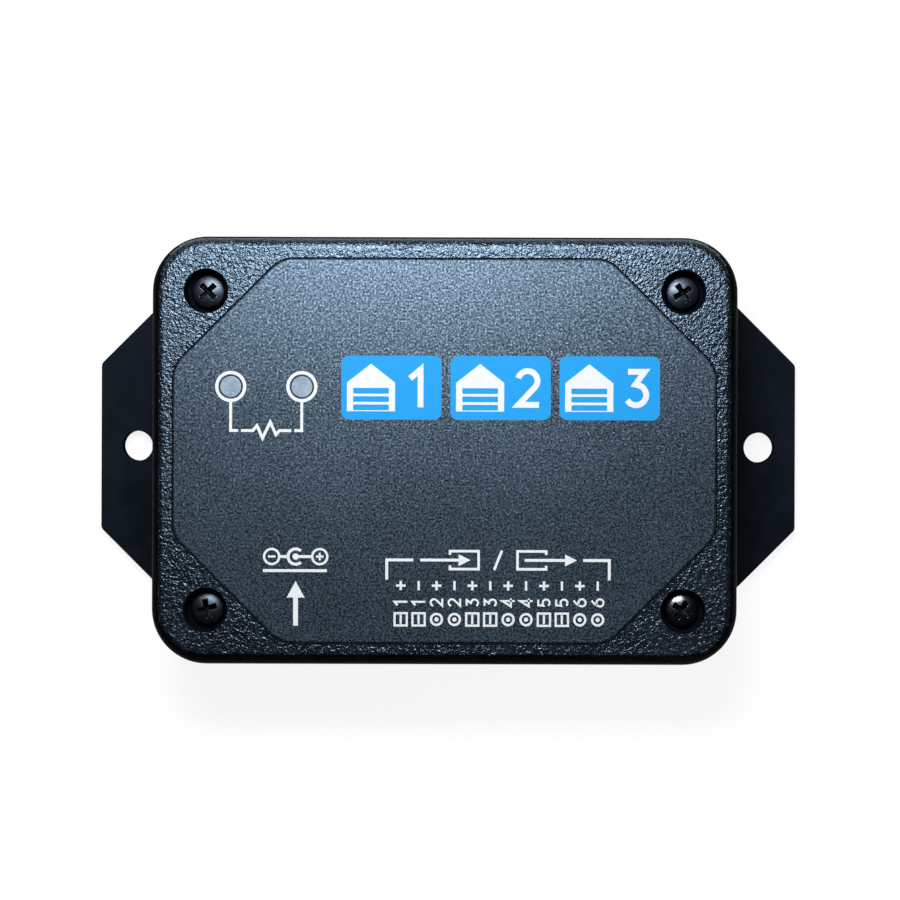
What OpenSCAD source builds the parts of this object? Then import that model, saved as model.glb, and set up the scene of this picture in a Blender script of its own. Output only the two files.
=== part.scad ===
// Wall-mounted door controller: a flanged two-part case with a relay board inside it.
// X runs along the case, Y towards its upper edge and Z out of the front panel, in millimetres.
// The origin is the middle of the back face.

/* [Case] */
// Length of the case, without its flanges
case_length = 115; // [108:0.5:135]
// Width of the case
case_width = 84; // [80:0.5:100]
// Height of the base, from the back face to the joint with the cover
base_height = 22; // [21.5:0.5:30]
// Height of the cover, from the joint to the front face
cover_height = 8; // [7.5:0.5:14]
// Outer radius of the four upright corners
corner_radius = 10.8; // [8:0.1:12.5]
// Thickness of the side walls
wall = 2.4; // [2.2:0.1:3]
// Thickness of the floor of the base
floor_thickness = 2.5; // [2:0.1:3]
// Thickness of the front panel of the cover
panel_thickness = 2.8; // [2.4:0.1:3.4]
// Radius of the round along the front edge of the cover
front_edge_radius = 2.6; // [1:0.1:3.4]
// Radius of the round along the back edge of the base
back_edge_radius = 0.8; // [0.4:0.1:1.5]
// Depth of the groove around the case at the joint
groove_depth = 0.35; // [0.2:0.05:0.6]
// Height of the groove around the case at the joint
groove_height = 0.6; // [0.3:0.1:1]
// Height of the tongue that locates the cover on the base
tongue_height = 1.4; // [1:0.1:2]
// Clearance between pieces that locate each other
fit_gap = 0.15; // [0.1:0.01:0.25]

/* [Flanges] */
// Reach of each mounting flange beyond the case
flange_reach = 15.2; // [13:0.1:20]
// Length of the straight outer edge of a flange
flange_tip = 34.5; // [20:0.5:38]
// Thickness of a flange
flange_thickness = 3; // [2.5:0.1:5]
// Radius of the two outer corners of a flange
flange_tip_radius = 1.4; // [0.5:0.1:3]
// Diameter of the mounting hole in a flange
mounting_hole_diameter = 6.3; // [4:0.1:7]

/* [Front label] */
// Margin between the side of the case and the label
label_margin = 4.7; // [4.3:0.1:7]
// Length that each cut corner of the label takes from a side
label_corner_cut = 20.9; // [19.5:0.1:24]
// Radius of the eight corners of the label
label_corner_radius = 6; // [2:0.5:8]
// Thickness of the label
label_thickness = 0.25; // [0.15:0.05:0.5]
// Depth of the face of the label below the front face
label_sink = 0.1; // [0.05:0.05:0.3]
// Gap between the label and the edge of its recess
label_gap = 0.4; // [0.1:0.05:0.5]

/* [Status lights] */
// Diameter of a light pipe
pipe_diameter = 4.1; // [3:0.1:5]
// Distance between the two light pipes
pipe_spacing = 13.9; // [9:0.1:16]
// Distance from the left edge of the label to the first light pipe
pipe_from_label_edge = 11; // [8:0.1:14]
// Height of the light pipes above the middle of the case
pipe_above_middle = 12.5; // [9:0.1:14]
// Diameter of the stop flange of a light pipe
pipe_flange_diameter = 6.2; // [5.5:0.1:7]
// Thickness of the stop flange of a light pipe
pipe_flange_thickness = 1; // [0.6:0.1:2]
// Clearance around a light pipe in the panel and the label
pipe_gap = 0.15; // [0.05:0.05:0.3]
// Size of a status lamp on the board
lamp_size = [3.5, 2.8, 1.9];
// Gap between a lamp and the light pipe over it
lamp_gap = 0.3; // [0.1:0.1:1]

/* [Cover screws] */
// Distance from the sides of the case to the axis of a cover screw
screw_inset = 10.8; // [10:0.1:12]
// Diameter of the screw head
screw_head_diameter = 6.6; // [5.5:0.1:7.5]
// Height of the screw head
screw_head_height = 2.4; // [2:0.1:3]
// Height of the straight side of the screw head
screw_head_side = 0.9; // [0.4:0.1:1.2]
// Diameter over the thread of the screw
screw_thread_diameter = 3; // [2.5:0.1:3.5]
// Diameter of the core of the screw
screw_core_diameter = 2.3; // [1.8:0.1:2.4]
// Pitch of the thread of the screw
screw_pitch = 1.27; // [0.8:0.01:1.5]
// Number of thread ridges on the screw
screw_ridges = 9; // [5:1:11]
// Plain length of the screw under its head
screw_neck = 3.6; // [2:0.1:5]
// Length of the point of the screw
screw_point = 1.4; // [0.5:0.1:2]
// Length of each arm pair of the cross recess
recess_span = 3.7; // [2.5:0.1:4.2]
// Width of an arm of the cross recess
recess_width = 0.95; // [0.7:0.05:1.2]
// Depth of the cross recess
recess_depth = 1.5; // [0.8:0.1:1.8]
// Diameter of the counterbore over a screw head
counterbore_diameter = 8.6; // [7.8:0.1:9]
// Depth of the counterbore below the front face
counterbore_depth = 4.8; // [4:0.1:5.5]
// Diameter of the clearance hole for a screw
screw_hole_diameter = 4; // [3.6:0.1:4.6]
// Diameter of the screw columns of the cover
cover_column_diameter = 11.6; // [10.5:0.1:12.4]
// Diameter of the screw columns of the base
base_column_diameter = 8.4; // [6.5:0.1:9.5]
// Clearance between the thread and the column that it enters
thread_gap = 0.05; // [0.02:0.01:0.1]
// Thickness of the ribs that tie the columns to the walls
rib_thickness = 1.6; // [1:0.1:2.5]

/* [Circuit board] */
// Thickness of the board
board_thickness = 1.6; // [1:0.1:2]
// Height of the standoffs that carry the board
standoff_height = 4.5; // [4:0.1:6]
// Diameter of a standoff
standoff_diameter = 6.4; // [5:0.1:7]
// Gap between the edge of the board and the walls
board_gap = 1.1; // [0.5:0.1:1.5]
// Gap between the board and the screw columns
column_gap = 1; // [0.5:0.1:1.5]
// Distance from the board's ends to its fixing screws
fixing_inset = 4.5; // [4:0.1:5]
// Distance from the corner notches of the board to its fixing screws
fixing_from_notch = 4.5; // [3.5:0.1:6]
// Diameter of the head of a fixing screw
fixing_head_diameter = 4.8; // [4:0.1:5.4]
// Height of the head of a fixing screw
fixing_head_height = 1.7; // [1.4:0.1:2.2]
// Diameter of the shank of a fixing screw
fixing_shank_diameter = 2.2; // [1.8:0.1:2.6]
// Length of a fixing screw under its head
fixing_length = 5.4; // [4:0.1:5.5]
// Clearance of a leg or a screw in its hole in the board
hole_gap = 0.2; // [0.1:0.05:0.3]
// Length of a soldered leg below the board
leg_below = 1.4; // [0.8:0.1:2]

/* [Terminal socket] */
// Number of terminals
terminal_count = 12; // [4:1:12]
// Distance between terminals
terminal_pitch = 3.5; // [3.2:0.05:3.6]
// Distance from the right side of the case to the middle of the socket
socket_from_right = 46.7; // [44:0.1:50]
// Length of the socket beyond its outer terminals, at each end
socket_end = 3.25; // [2.5:0.05:4]
// Height of the socket above the board
socket_height = 7.3; // [6.5:0.1:9]
// Depth of the socket from its mouth to its back
socket_depth = 9.2; // [8:0.1:11]
// Thickness of the walls of the socket
socket_wall = 0.9; // [0.6:0.1:1.2]
// Thickness of the back of the socket
socket_back = 1.6; // [1:0.1:2]
// Side of a square terminal pin
terminal_pin = 0.8; // [0.6:0.05:1]
// Distance from the mouth of the socket to the tip of a pin
terminal_pin_setback = 1.8; // [1:0.1:3]
// Width of a keying slot in the upper wall of the socket
key_width = 1.5; // [0.8:0.1:2]
// Length of a keying slot
key_length = 3.4; // [2:0.1:5]
// Distance of the connectors' mouths inside the face of the wall
mouth_setback = 0.3; // [0.1:0.1:1]
// Gap around a connector in its window
window_gap = 0.25; // [0.15:0.05:0.4]

/* [Power jack] */
// Distance from the left side of the case to the middle of the jack
jack_from_left = 28.5; // [26:0.1:30]
// Width of the jack
jack_width = 9; // [8.6:0.1:10]
// Height of the front of the jack
jack_height = 11; // [10.6:0.1:11.4]
// Length of the jack
jack_length = 14.2; // [12.5:0.1:15]
// Length of the square front of the jack
jack_front_length = 3.5; // [2.5:0.1:5]
// Diameter of the barrel of the jack
jack_barrel_diameter = 8.4; // [7.8:0.1:8.6]
// Height of the axis of the jack above the board
jack_axis_height = 6.4; // [6:0.1:6.5]
// Diameter of the bore of the jack
jack_bore_diameter = 6.3; // [5.8:0.1:6.4]
// Depth of the bore of the jack
jack_bore_depth = 10.5; // [9:0.1:11]
// Diameter of the centre pin of the jack
jack_pin_diameter = 2; // [1.6:0.1:2.5]
// Distance from the mouth of the jack to the tip of its centre pin
jack_pin_setback = 1.2; // [0.8:0.1:2]
// Thickness of the sheet metal of the jack's contacts
contact_thickness = 0.4; // [0.3:0.05:0.5]
// Width of the jack's contacts
contact_width = 2.2; // [1.6:0.1:2.6]

/* [Relays] */
// Number of relays
relay_count = 3; // [1:1:3]
// Width of a relay along X
relay_width = 15.5; // [14:0.1:16]
// Length of a relay along Y
relay_length = 19; // [17:0.1:20]
// Height of a relay
relay_height = 15.3; // [12:0.1:16]
// Gap between relays
relay_gap = 3.2; // [1:0.1:4]
// Distance from the right end of the board to the last relay
relay_from_end = 8.5; // [8:0.1:10]
// Distance of the relays above the middle of the board
relay_above_middle = 13.5; // [12.5:0.1:15]
// Radius of the upright corners of a relay
relay_corner_radius = 1.2; // [1:0.1:2]
// Radius of the upper edges of a relay
relay_edge_radius = 0.7; // [0.3:0.1:0.9]
// Diameter of a relay leg
relay_leg_diameter = 1; // [0.7:0.1:1.2]

/* [Radio module] */
// Length of the radio board
radio_length = 25.5; // [24:0.1:27]
// Width of the radio board
radio_width = 18; // [16:0.1:19]
// Thickness of the radio board
radio_thickness = 0.8; // [0.6:0.1:1.2]
// Distance from the left end of the main board to the radio board
radio_from_end = 2; // [1:0.1:3]
// Distance of the radio board below the middle of the main board
radio_below_middle = 7; // [6:0.1:8]
// Length of the radio shield
shield_length = 16.8; // [14:0.1:18]
// Width of the radio shield
shield_width = 15.4; // [13:0.1:15.8]
// Height of the radio shield
shield_height = 2.3; // [1.5:0.1:3]
// Thickness of the sheet of the radio shield
shield_sheet = 0.3; // [0.2:0.05:0.5]
// Distance between the half holes along the radio board
half_hole_pitch = 2; // [1.5:0.1:2.5]
// Diameter of a half hole
half_hole_diameter = 0.9; // [0.6:0.1:1.1]

/* [Small components] */
// Diameter of a capacitor can
can_diameter = 8; // [6.3:0.1:8.5]
// Height of a capacitor can
can_height = 9.4; // [6:0.1:12]
// Distance between the two capacitor cans
can_spacing = 10; // [9.2:0.1:10.5]
// Height of the plastic base of a capacitor
can_base_height = 0.9; // [0.5:0.1:1.5]
// Side of the square choke
choke_side = 7.3; // [5:0.1:8]
// Height of the choke
choke_height = 4; // [3:0.1:4.2]
// Size of the regulator's body
regulator_size = [4.9, 3.9, 1.4];
// Size of an optocoupler's body
optocoupler_size = [4.6, 6.4, 3.2];
// Distance between optocouplers
optocoupler_pitch = 10; // [7:0.1:11]
// Size of a diode
diode_size = [4.3, 2.6, 2.1];
// Size of a transistor's body
transistor_size = [2.9, 1.3, 0.9];
// Size of the input fuse
fuse_size = [4.6, 3.2, 1.2];
// Size of a chip resistor or a chip capacitor with its end caps
chip_size = [2, 1.25, 0.55];
// Length of an end cap of a chip
chip_cap = 0.4; // [0.2:0.05:0.5]
// Distance between chips in a row
chip_pitch = 4.4; // [3:0.1:5]
// Number of pins of the programming header
header_count = 6; // [3:1:8]
// Distance between the pins of the programming header
header_pitch = 2.54; // [2:0.01:2.54]
// Side of a header pin
header_pin = 0.64; // [0.5:0.01:0.7]
// Height of the header pins above the board
header_pin_height = 8.5; // [6:0.1:11]

/* [Places on the board] */
// Distance from the left end of the board to the capacitor cans
can_from_left = 37; // [34:0.5:40]
// Distance of the lower capacitor can above the middle of the board
can_above_middle = 8.2; // [6:0.1:9]
// Distance from the left end of the board to the regulator
regulator_from_left = 40; // [36:0.5:42]
// Distance from the left end of the board to the choke
choke_from_left = 50; // [48:0.5:52]
// Distance of the regulator and the choke below the middle of the board
supply_below_middle = 14; // [11:0.5:15]
// Distance from the jack to the fuse and the input diode beside it
fuse_from_jack = 10.5; // [9:0.1:11.5]
// Distance from the lower edge of the board to the fuse
fuse_from_edge = 7.5; // [4:0.1:8]
// Distance from the fuse to the input diode
diode_from_fuse = 6; // [4.5:0.1:7]
// Distance from the lower edge of the board to the optocouplers
optocoupler_from_edge = 18.5; // [16.5:0.1:20]
// Distance from the relays to the transistors and diodes that drive them
driver_from_relay = 5; // [3:0.1:6]
// Distance of a transistor or a diode from the middle line of its relay
driver_offset = 3.6; // [3.2:0.1:4.5]
// Distance from the relay drivers to the first row of chips
chips_from_driver = 5; // [3.5:0.1:6]
// Distance between the two rows of chips
chip_row_pitch = 2.6; // [1.8:0.1:3]
// Number of chips in a row
chip_columns = 9; // [3:1:10]
// Distance from the left end of the board to the reset switch
switch_from_left = 40; // [36:0.5:43]
// Distance from the upper edge of the board to the reset switch
switch_from_edge = 8; // [5:0.1:9]
// Distance from the left end of the board to the programming header
header_from_left = 24; // [21:0.5:26]
// Distance from the upper edge of the board to the programming header
header_from_edge = 6; // [2:0.1:8]

/* [Reset switch] */
// Side of the square switch
switch_side = 6; // [5.4:0.1:6.4]
// Height of the switch without its button
switch_height = 3.5; // [3:0.1:5]
// Thickness of the metal plate on the switch
switch_plate = 0.3; // [0.2:0.05:0.5]
// Diameter of the button
button_diameter = 3.4; // [2.5:0.1:3.6]
// Height of the button above the plate
button_rise = 1.5; // [1:0.1:6]
// Travel of the button
button_travel = 0.25; // [0.15:0.05:0.5]
// Diameter of the collar that holds the button in
button_collar_diameter = 4.4; // [4.2:0.1:4.6]
// Thickness of the collar of the button
button_collar = 0.9; // [0.6:0.1:1.2]
// Clearance around the button
button_gap = 0.06; // [0.03:0.01:0.1]

/* [Hidden] */
$fn = 64;
corner_steps = 8;
// Length by which a cut runs past the surface that it opens
over = 1;
case_height = base_height + cover_height;
panel_under = case_height - panel_thickness;
inner_length = case_length - 2 * wall;
inner_width = case_width - 2 * wall;
inner_radius = corner_radius - wall;

// Corners in the order upper left, upper right, lower left, lower right
CORNERS = [[-1, 1], [1, 1], [-1, -1], [1, -1]];
// Turn of the cross recess of each cover screw, in the same order
RECESS_TURNS = [45, 32, 16, 58];
screw_x = case_length / 2 - screw_inset;
screw_y = case_width / 2 - screw_inset;
screw_seat = case_height - counterbore_depth;
screw_length = screw_neck + screw_ridges * screw_pitch + screw_point;
column_bore_floor = screw_seat - screw_length - over;
hole_x = case_length / 2 + flange_reach / 2;

label_length = case_length - 2 * label_margin;
label_width = case_width - 2 * label_margin;
label_top = case_height - label_sink;
label_bottom = label_top - label_thickness;

board_bottom = floor_thickness + standoff_height;
board_top = board_bottom + board_thickness;
board_length = inner_length - 2 * board_gap;
board_width = inner_width - 2 * board_gap;
board_left = -board_length / 2;
board_right = board_length / 2;
notch_x = screw_x - base_column_diameter / 2 - column_gap;
notch_y = screw_y - base_column_diameter / 2 - column_gap;
fixing_x = board_length / 2 - fixing_inset;
fixing_y = notch_y - fixing_from_notch;

mouth_y = -case_width / 2 + mouth_setback;
socket_x = case_length / 2 - socket_from_right;
socket_length = (terminal_count - 1) * terminal_pitch + 2 * socket_end;
socket_rear = mouth_y + socket_depth;
terminal_leg_y = socket_rear + 2 * terminal_pin;
terminal_z = board_top + socket_height / 2;

jack_x = -case_length / 2 + jack_from_left;
jack_rear = mouth_y + jack_length;
jack_z = board_top + jack_axis_height;
// The sleeve contact lies in a slot under the bore, and its leg drops through the support
sleeve_length = 5.5;
sleeve_top = jack_z - jack_bore_diameter / 2;
sleeve_y = mouth_y + jack_front_length + over;
// The side contact lies against the side of the support
side_contact_y = mouth_y + jack_front_length + contact_width;
side_contact_height = 4.5;

relay_pitch = relay_width + relay_gap;
// Legs of a relay from its middle: common, two coil legs and two contacts
RELAY_LEGS = [[0, -7.2], [-5.6, -5], [5.6, -5], [-5.6, 6.4], [5.6, 6.4]];

pipe_left_x = -label_length / 2 + pipe_from_label_edge;
pipe_right_x = pipe_left_x + pipe_spacing;

radio_x = board_left + radio_from_end + radio_length / 2;
radio_top = board_top + radio_thickness;
// The shield leaves the antenna end of the radio board free
shield_margin = 1;
shield_x = radio_x + radio_length / 2 - shield_length / 2 - shield_margin;
// Half holes start this far from the end of the radio board, and stop before the antenna
half_hole_margin = 1.5;
antenna_length = 6.5;

// Middles of the small components, from the middle of the board
choke_middle = [board_left + choke_from_left, -supply_below_middle];
regulator_middle = [board_left + regulator_from_left, -supply_below_middle];
fuse_middle = [jack_x + fuse_from_jack, fuse_from_edge - board_width / 2];
input_diode_middle = fuse_middle + [0, diode_from_fuse];
optocoupler_first = [socket_x - optocoupler_pitch / 2, optocoupler_from_edge - board_width / 2];
driver_y = relay_above_middle - relay_length / 2 - driver_from_relay;
chip_first = [socket_x - chip_pitch, driver_y - chips_from_driver];
switch_middle = [board_left + switch_from_left, board_width / 2 - switch_from_edge];
header_middle = [board_left + header_from_left, board_width / 2 - header_from_edge];
header_body = header_pitch;
board_corner_radius = 0.8;

// Sheet of the bent legs, and the gap that they leave under a body
leg_sheet = 0.2;
body_lift = 0.15;
// Width and reach of the bent legs of each kind of package
REGULATOR_LEG = [0.42, 1];
OPTOCOUPLER_LEG = [0.6, 1.4];
TRANSISTOR_LEG = [0.42, 0.7];
regulator_legs_per_side = 4;
regulator_leg_pitch = 1.27;
optocoupler_leg_pitch = 2.54;
transistor_leg_pitch = 0.95;
// Upright and upper radii of the choke and of the radio shield
CHOKE_RADII = [1.2, 0.5];
SHIELD_RADII = [0.8, 0.4];
can_edge_radius = 0.6;
// Overhang and cut corners of the plastic base under a can
can_base_overhang = 0.15;
can_base_cut = 1.6;
lamp_lens_depth = 0.4;
lamp_lens_diameter = 2.2;
fixing_recess_turn = 20;
fixing_recess_width = 0.75;
switch_well = board_top + switch_height - switch_plate - button_collar - button_travel - 2 * button_gap;

// Helpers for outlines

function unit(v) = v / norm(v);

// The arc that rounds the corner q between the points p and s
function rounded_corner(p, q, s, r) =
    let (u = unit(p - q), v = unit(s - q), half = acos(u * v) / 2)
    let (centre = q + unit(u + v) * r / sin(half))
    let (start = q + u * r / tan(half) - centre, from = atan2(start[1], start[0]))
    let (turn = sign(cross(q - p, s - q)) * (180 - 2 * half) / corner_steps)
    [for (i = [0:corner_steps]) centre + r * [cos(from + i * turn), sin(from + i * turn)]];

// An outline with one radius for each of its points, and 0 for a sharp one
function rounded_outline(points, radii) =
    let (n = len(points))
    [for (i = [0:n - 1])
        each radii[i] > 0
            ? rounded_corner(points[(i + n - 1) % n], points[i], points[(i + 1) % n], radii[i])
            : [points[i]]];

// A rectangle with its four corners cut at 45 degrees
function cut_rectangle(l, w, cut) =
    [[l / 2, w / 2 - cut], [l / 2 - cut, w / 2], [cut - l / 2, w / 2], [-l / 2, w / 2 - cut],
     [-l / 2, cut - w / 2], [cut - l / 2, -w / 2], [l / 2 - cut, -w / 2], [l / 2, cut - w / 2]];

// The label's outline, grown by a gap on all sides
function label_outline(grow) =
    let (cut = label_corner_cut + grow * (2 - sqrt(2)), r = label_corner_radius + grow)
    rounded_outline(cut_rectangle(label_length + 2 * grow, label_width + 2 * grow, cut),
        [for (i = [1:8]) r]);

function corner_turn(c) = c[0] > 0 ? (c[1] > 0 ? 0 : 270) : (c[1] > 0 ? 90 : 180);

// Helpers for solids

module quarter_disc(r) {
    intersection() {
        circle(r);
        square(r);
    }
}

module rounded_rectangle(l, w, r) {
    square([l - 2 * r, w], center = true);
    square([l, w - 2 * r], center = true);
    for (c = CORNERS)
        translate([c[0] * (l / 2 - r), c[1] * (w / 2 - r)])
            rotate(corner_turn(c))
                quarter_disc(r);
}

module rounded_prism(l, w, r, z0, z1) {
    translate([0, 0, z0])
        linear_extrude(z1 - z0)
            rounded_rectangle(l, w, r);
}

// Half of a wall section whose outer upper edge is round
module edge_section(reach, h, r) {
    square([reach, h - r]);
    square([reach - r, h]);
    translate([reach - r, h - r])
        quarter_disc(r);
}

// A block with round upright corners and a round upper edge
module rounded_block(l, w, h, r, edge_r) {
    straight_l = l - 2 * r;
    straight_w = w - 2 * r;
    translate([-straight_l / 2, -straight_w / 2, 0])
        cube([straight_l, straight_w, h]);
    for (turn = [0, 180])
        rotate(turn) {
            translate([-straight_l / 2, straight_w / 2, 0])
                rotate([90, 0, 90])
                    linear_extrude(straight_l)
                        edge_section(r, h, edge_r);
            translate([straight_l / 2, straight_w / 2, 0])
                rotate([90, 0, 0])
                    linear_extrude(straight_w)
                        edge_section(r, h, edge_r);
        }
    for (c = CORNERS)
        translate([c[0] * straight_l / 2, c[1] * straight_w / 2, 0])
            rotate(corner_turn(c))
                rotate_extrude(angle = 90)
                    edge_section(r, h, edge_r);
}

// A box on z0, centred on a point in plan
module seated_box(middle, z0, size) {
    translate([middle[0] - size[0] / 2, middle[1] - size[1] / 2, z0])
        cube(size);
}

module post(middle, z0, z1, d) {
    translate([middle[0], middle[1], z0])
        cylinder(d = d, h = z1 - z0);
}

module at_screws() {
    for (c = CORNERS)
        translate([c[0] * screw_x, c[1] * screw_y, 0])
            children();
}

module at_fixings() {
    for (c = CORNERS)
        translate([c[0] * fixing_x, c[1] * fixing_y, 0])
            children();
}

// Two ribs from each screw column to the walls beside it
module column_ribs(z0, z1) {
    reach = screw_inset - wall / 2;
    for (c = CORNERS)
        translate([c[0] * screw_x, c[1] * screw_y, z0])
            rotate(corner_turn(c)) {
                translate([0, -rib_thickness / 2, 0])
                    cube([reach, rib_thickness, z1 - z0]);
                translate([-rib_thickness / 2, 0, 0])
                    cube([rib_thickness, reach, z1 - z0]);
            }
}

// A pan head with its flat face on z = 0 and a domed top
module pan_head(d, h, side) {
    rise = h - side;
    dome = (d * d / 4 + rise * rise) / (2 * rise);
    rotate_extrude()
        intersection() {
            translate([0, h - dome])
                circle(dome);
            square([d / 2, h]);
        }
}

// A bent leg, of a given width and reach along +Y, that steps down from a body's side to the board
module bent_leg(leg, rise) {
    reach = leg[1];
    inside = (reach - leg_sheet) / 2;
    outside = (reach + leg_sheet) / 2;
    translate([-leg[0] / 2, 0, 0])
        rotate([90, 0, 90])
            linear_extrude(leg[0])
                polygon([[0, rise], [0, rise - leg_sheet], [inside, rise - leg_sheet], [inside, 0],
                    [reach, 0], [reach, leg_sheet], [outside, leg_sheet], [outside, rise]]);
}

// Legs along both long sides of a body
module leg_rows(middle, count, pitch, leg, body_width, rise) {
    for (side = [0, 180], i = [0:count - 1])
        translate([middle[0], middle[1], board_top])
            rotate(side)
                translate([(i - (count - 1) / 2) * pitch, body_width / 2, 0])
                    bent_leg(leg, rise);
}

// Case

// The groove that half of each edge along the joint forms
module joint_groove() {
    z0 = base_height - groove_height / 2;
    z1 = base_height + groove_height / 2;
    difference() {
        rounded_prism(case_length + 2 * over, case_width + 2 * over, corner_radius + over, z0, z1);
        rounded_prism(case_length - 2 * groove_depth, case_width - 2 * groove_depth,
            corner_radius - groove_depth, z0 - over, z1 + over);
    }
}

module flange() {
    root = flange_tip / 2 + flange_reach;
    inside = case_length / 2 - wall / 2;
    outline = [[inside, -root], [case_length / 2, -root],
        [case_length / 2 + flange_reach, -flange_tip / 2],
        [case_length / 2 + flange_reach, flange_tip / 2], [case_length / 2, root], [inside, root]];
    linear_extrude(flange_thickness)
        polygon(rounded_outline(outline, [0, 0, flange_tip_radius, flange_tip_radius, 0, 0]));
}

module connector_windows() {
    deep = wall + over;
    gap = 2 * window_gap;
    translate([0, -case_width / 2 + wall / 2, 0]) {
        seated_box([socket_x, 0], board_top - window_gap,
            [socket_length + gap, deep, socket_height + gap]);
        seated_box([jack_x, 0], board_top - window_gap, [jack_width + gap, deep, jack_height + gap]);
    }
}

module base_tray() {
    tongue_outer = wall / 2 + fit_gap;
    color([0.03, 0.032, 0.036])
        difference() {
            union() {
                difference() {
                    translate([0, 0, base_height])
                        mirror([0, 0, 1])
                            rounded_block(case_length, case_width, base_height, corner_radius,
                                back_edge_radius);
                    rounded_prism(inner_length, inner_width, inner_radius, floor_thickness,
                        base_height + over);
                }
                difference() {
                    rounded_prism(case_length - 2 * tongue_outer, case_width - 2 * tongue_outer,
                        corner_radius - tongue_outer, base_height - over,
                        base_height + tongue_height);
                    rounded_prism(inner_length, inner_width, inner_radius, floor_thickness,
                        base_height + tongue_height + over);
                }
                for (turn = [0, 180])
                    rotate(turn)
                        flange();
                at_screws()
                    post([0, 0], 0.5 * floor_thickness, base_height, base_column_diameter);
                column_ribs(0.5 * floor_thickness, base_height);
                at_fixings()
                    post([0, 0], 0.5 * floor_thickness, board_bottom, standoff_diameter);
            }
            for (side = [-1, 1])
                post([side * hole_x, 0], -over, flange_thickness + over, mounting_hole_diameter);
            at_screws()
                post([0, 0], column_bore_floor, base_height + over,
                    screw_thread_diameter + 2 * thread_gap);
            at_fixings()
                post([0, 0], floor_thickness, board_bottom + over,
                    fixing_shank_diameter + 2 * thread_gap);
            connector_windows();
            joint_groove();
        }
}

module top_cover() {
    rebate = wall / 2;
    color([0.03, 0.032, 0.036])
        difference() {
            union() {
                difference() {
                    translate([0, 0, base_height])
                        rounded_block(case_length, case_width, cover_height, corner_radius,
                            front_edge_radius);
                    rounded_prism(inner_length, inner_width, inner_radius, base_height - over,
                        panel_under);
                    rounded_prism(case_length - 2 * rebate, case_width - 2 * rebate,
                        corner_radius - rebate, base_height - over,
                        base_height + tongue_height + fit_gap);
                }
                at_screws()
                    post([0, 0], base_height, panel_under + over, cover_column_diameter);
                column_ribs(base_height + tongue_height + fit_gap, panel_under + over);
            }
            at_screws() {
                post([0, 0], screw_seat, case_height + over, counterbore_diameter);
                post([0, 0], base_height - over, case_height, screw_hole_diameter);
            }
            joint_groove();
            translate([0, 0, label_bottom])
                linear_extrude(case_height)
                    polygon(label_outline(label_gap));
            for (x = [pipe_left_x, pipe_right_x])
                post([x, pipe_above_middle], panel_under - over, case_height + over,
                    pipe_diameter + 2 * pipe_gap);
        }
}

module front_label() {
    color([0.09, 0.1, 0.12])
        difference() {
            translate([0, 0, label_bottom])
                linear_extrude(label_thickness)
                    polygon(label_outline(0));
            for (x = [pipe_left_x, pipe_right_x])
                post([x, pipe_above_middle], label_bottom - over, case_height + over,
                    pipe_diameter + 2 * pipe_gap);
        }
}

module light_pipe(x) {
    color([0.62, 0.7, 0.76]) {
        post([x, pipe_above_middle], board_top + lamp_size[2] + lamp_gap, label_top, pipe_diameter);
        post([x, pipe_above_middle], panel_under - pipe_flange_thickness, panel_under,
            pipe_flange_diameter);
    }
}

module screw_shank() {
    core = screw_core_diameter / 2;
    crest = screw_thread_diameter / 2;
    thread_end = screw_neck + screw_ridges * screw_pitch;
    ridges = [for (i = [0:screw_ridges - 1])
        each [[core, -screw_neck - i * screw_pitch],
            [crest, -screw_neck - (i + 0.5) * screw_pitch]]];
    rotate_extrude()
        polygon(concat([[0, -thread_end - screw_point], [0, 0], [core, 0]], ridges,
            [[core, -thread_end]]));
}

module cover_screw(i) {
    translate([CORNERS[i][0] * screw_x, CORNERS[i][1] * screw_y, screw_seat])
        rotate(RECESS_TURNS[i])
            color([0.05, 0.05, 0.055]) {
                difference() {
                    pan_head(screw_head_diameter, screw_head_height, screw_head_side);
                    for (turn = [0, 90])
                        rotate(turn)
                            seated_box([0, 0], screw_head_height - recess_depth,
                                [recess_span, recess_width, recess_depth + over]);
                }
                screw_shank();
            }
}

// Circuit board

// Outline of the board, with a notch for the screw column at each corner
function board_outline() =
    let (x = board_length / 2, y = board_width / 2)
    [[x, -notch_y], [x, notch_y], [notch_x, notch_y], [notch_x, y], [-notch_x, y],
     [-notch_x, notch_y], [-x, notch_y], [-x, -notch_y], [-notch_x, -notch_y], [-notch_x, -y],
     [notch_x, -y], [notch_x, -notch_y]];

module circuit_board() {
    color([0.05, 0.22, 0.12])
        difference() {
            translate([0, 0, board_bottom])
                linear_extrude(board_thickness)
                    polygon(rounded_outline(board_outline(), [for (i = [1:12]) board_corner_radius]));
            at_fixings()
                board_hole([0, 0], fixing_shank_diameter);
            for (x = terminal_xs())
                board_hole([x, terminal_leg_y], terminal_pin * sqrt(2));
            for (r = [0:relay_count - 1], leg = RELAY_LEGS)
                board_hole(relay_middle(r) + leg, relay_leg_diameter);
            for (x = header_xs())
                board_hole([x, header_middle[1]], header_pin * sqrt(2));
            for (slot = jack_slots())
                seated_box(slot[0], board_bottom - over,
                    [slot[1][0] + 2 * hole_gap, slot[1][1] + 2 * hole_gap, board_thickness + 2 * over]);
        }
}

module board_hole(middle, d) {
    post(middle, board_bottom - over, board_top + over, d + 2 * hole_gap);
}

module board_screws() {
    color([0.55, 0.56, 0.58])
        at_fixings()
            translate([0, 0, board_top]) {
                difference() {
                    pan_head(fixing_head_diameter, fixing_head_height, fixing_head_height / 2);
                    for (turn = [0, 90])
                        rotate(fixing_recess_turn + turn)
                            seated_box([0, 0], fixing_head_height / 2,
                                [fixing_head_diameter / 2, fixing_recess_width, fixing_head_height]);
                }
                post([0, 0], -fixing_length, 0, fixing_shank_diameter);
            }
}

// Terminal socket

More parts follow.
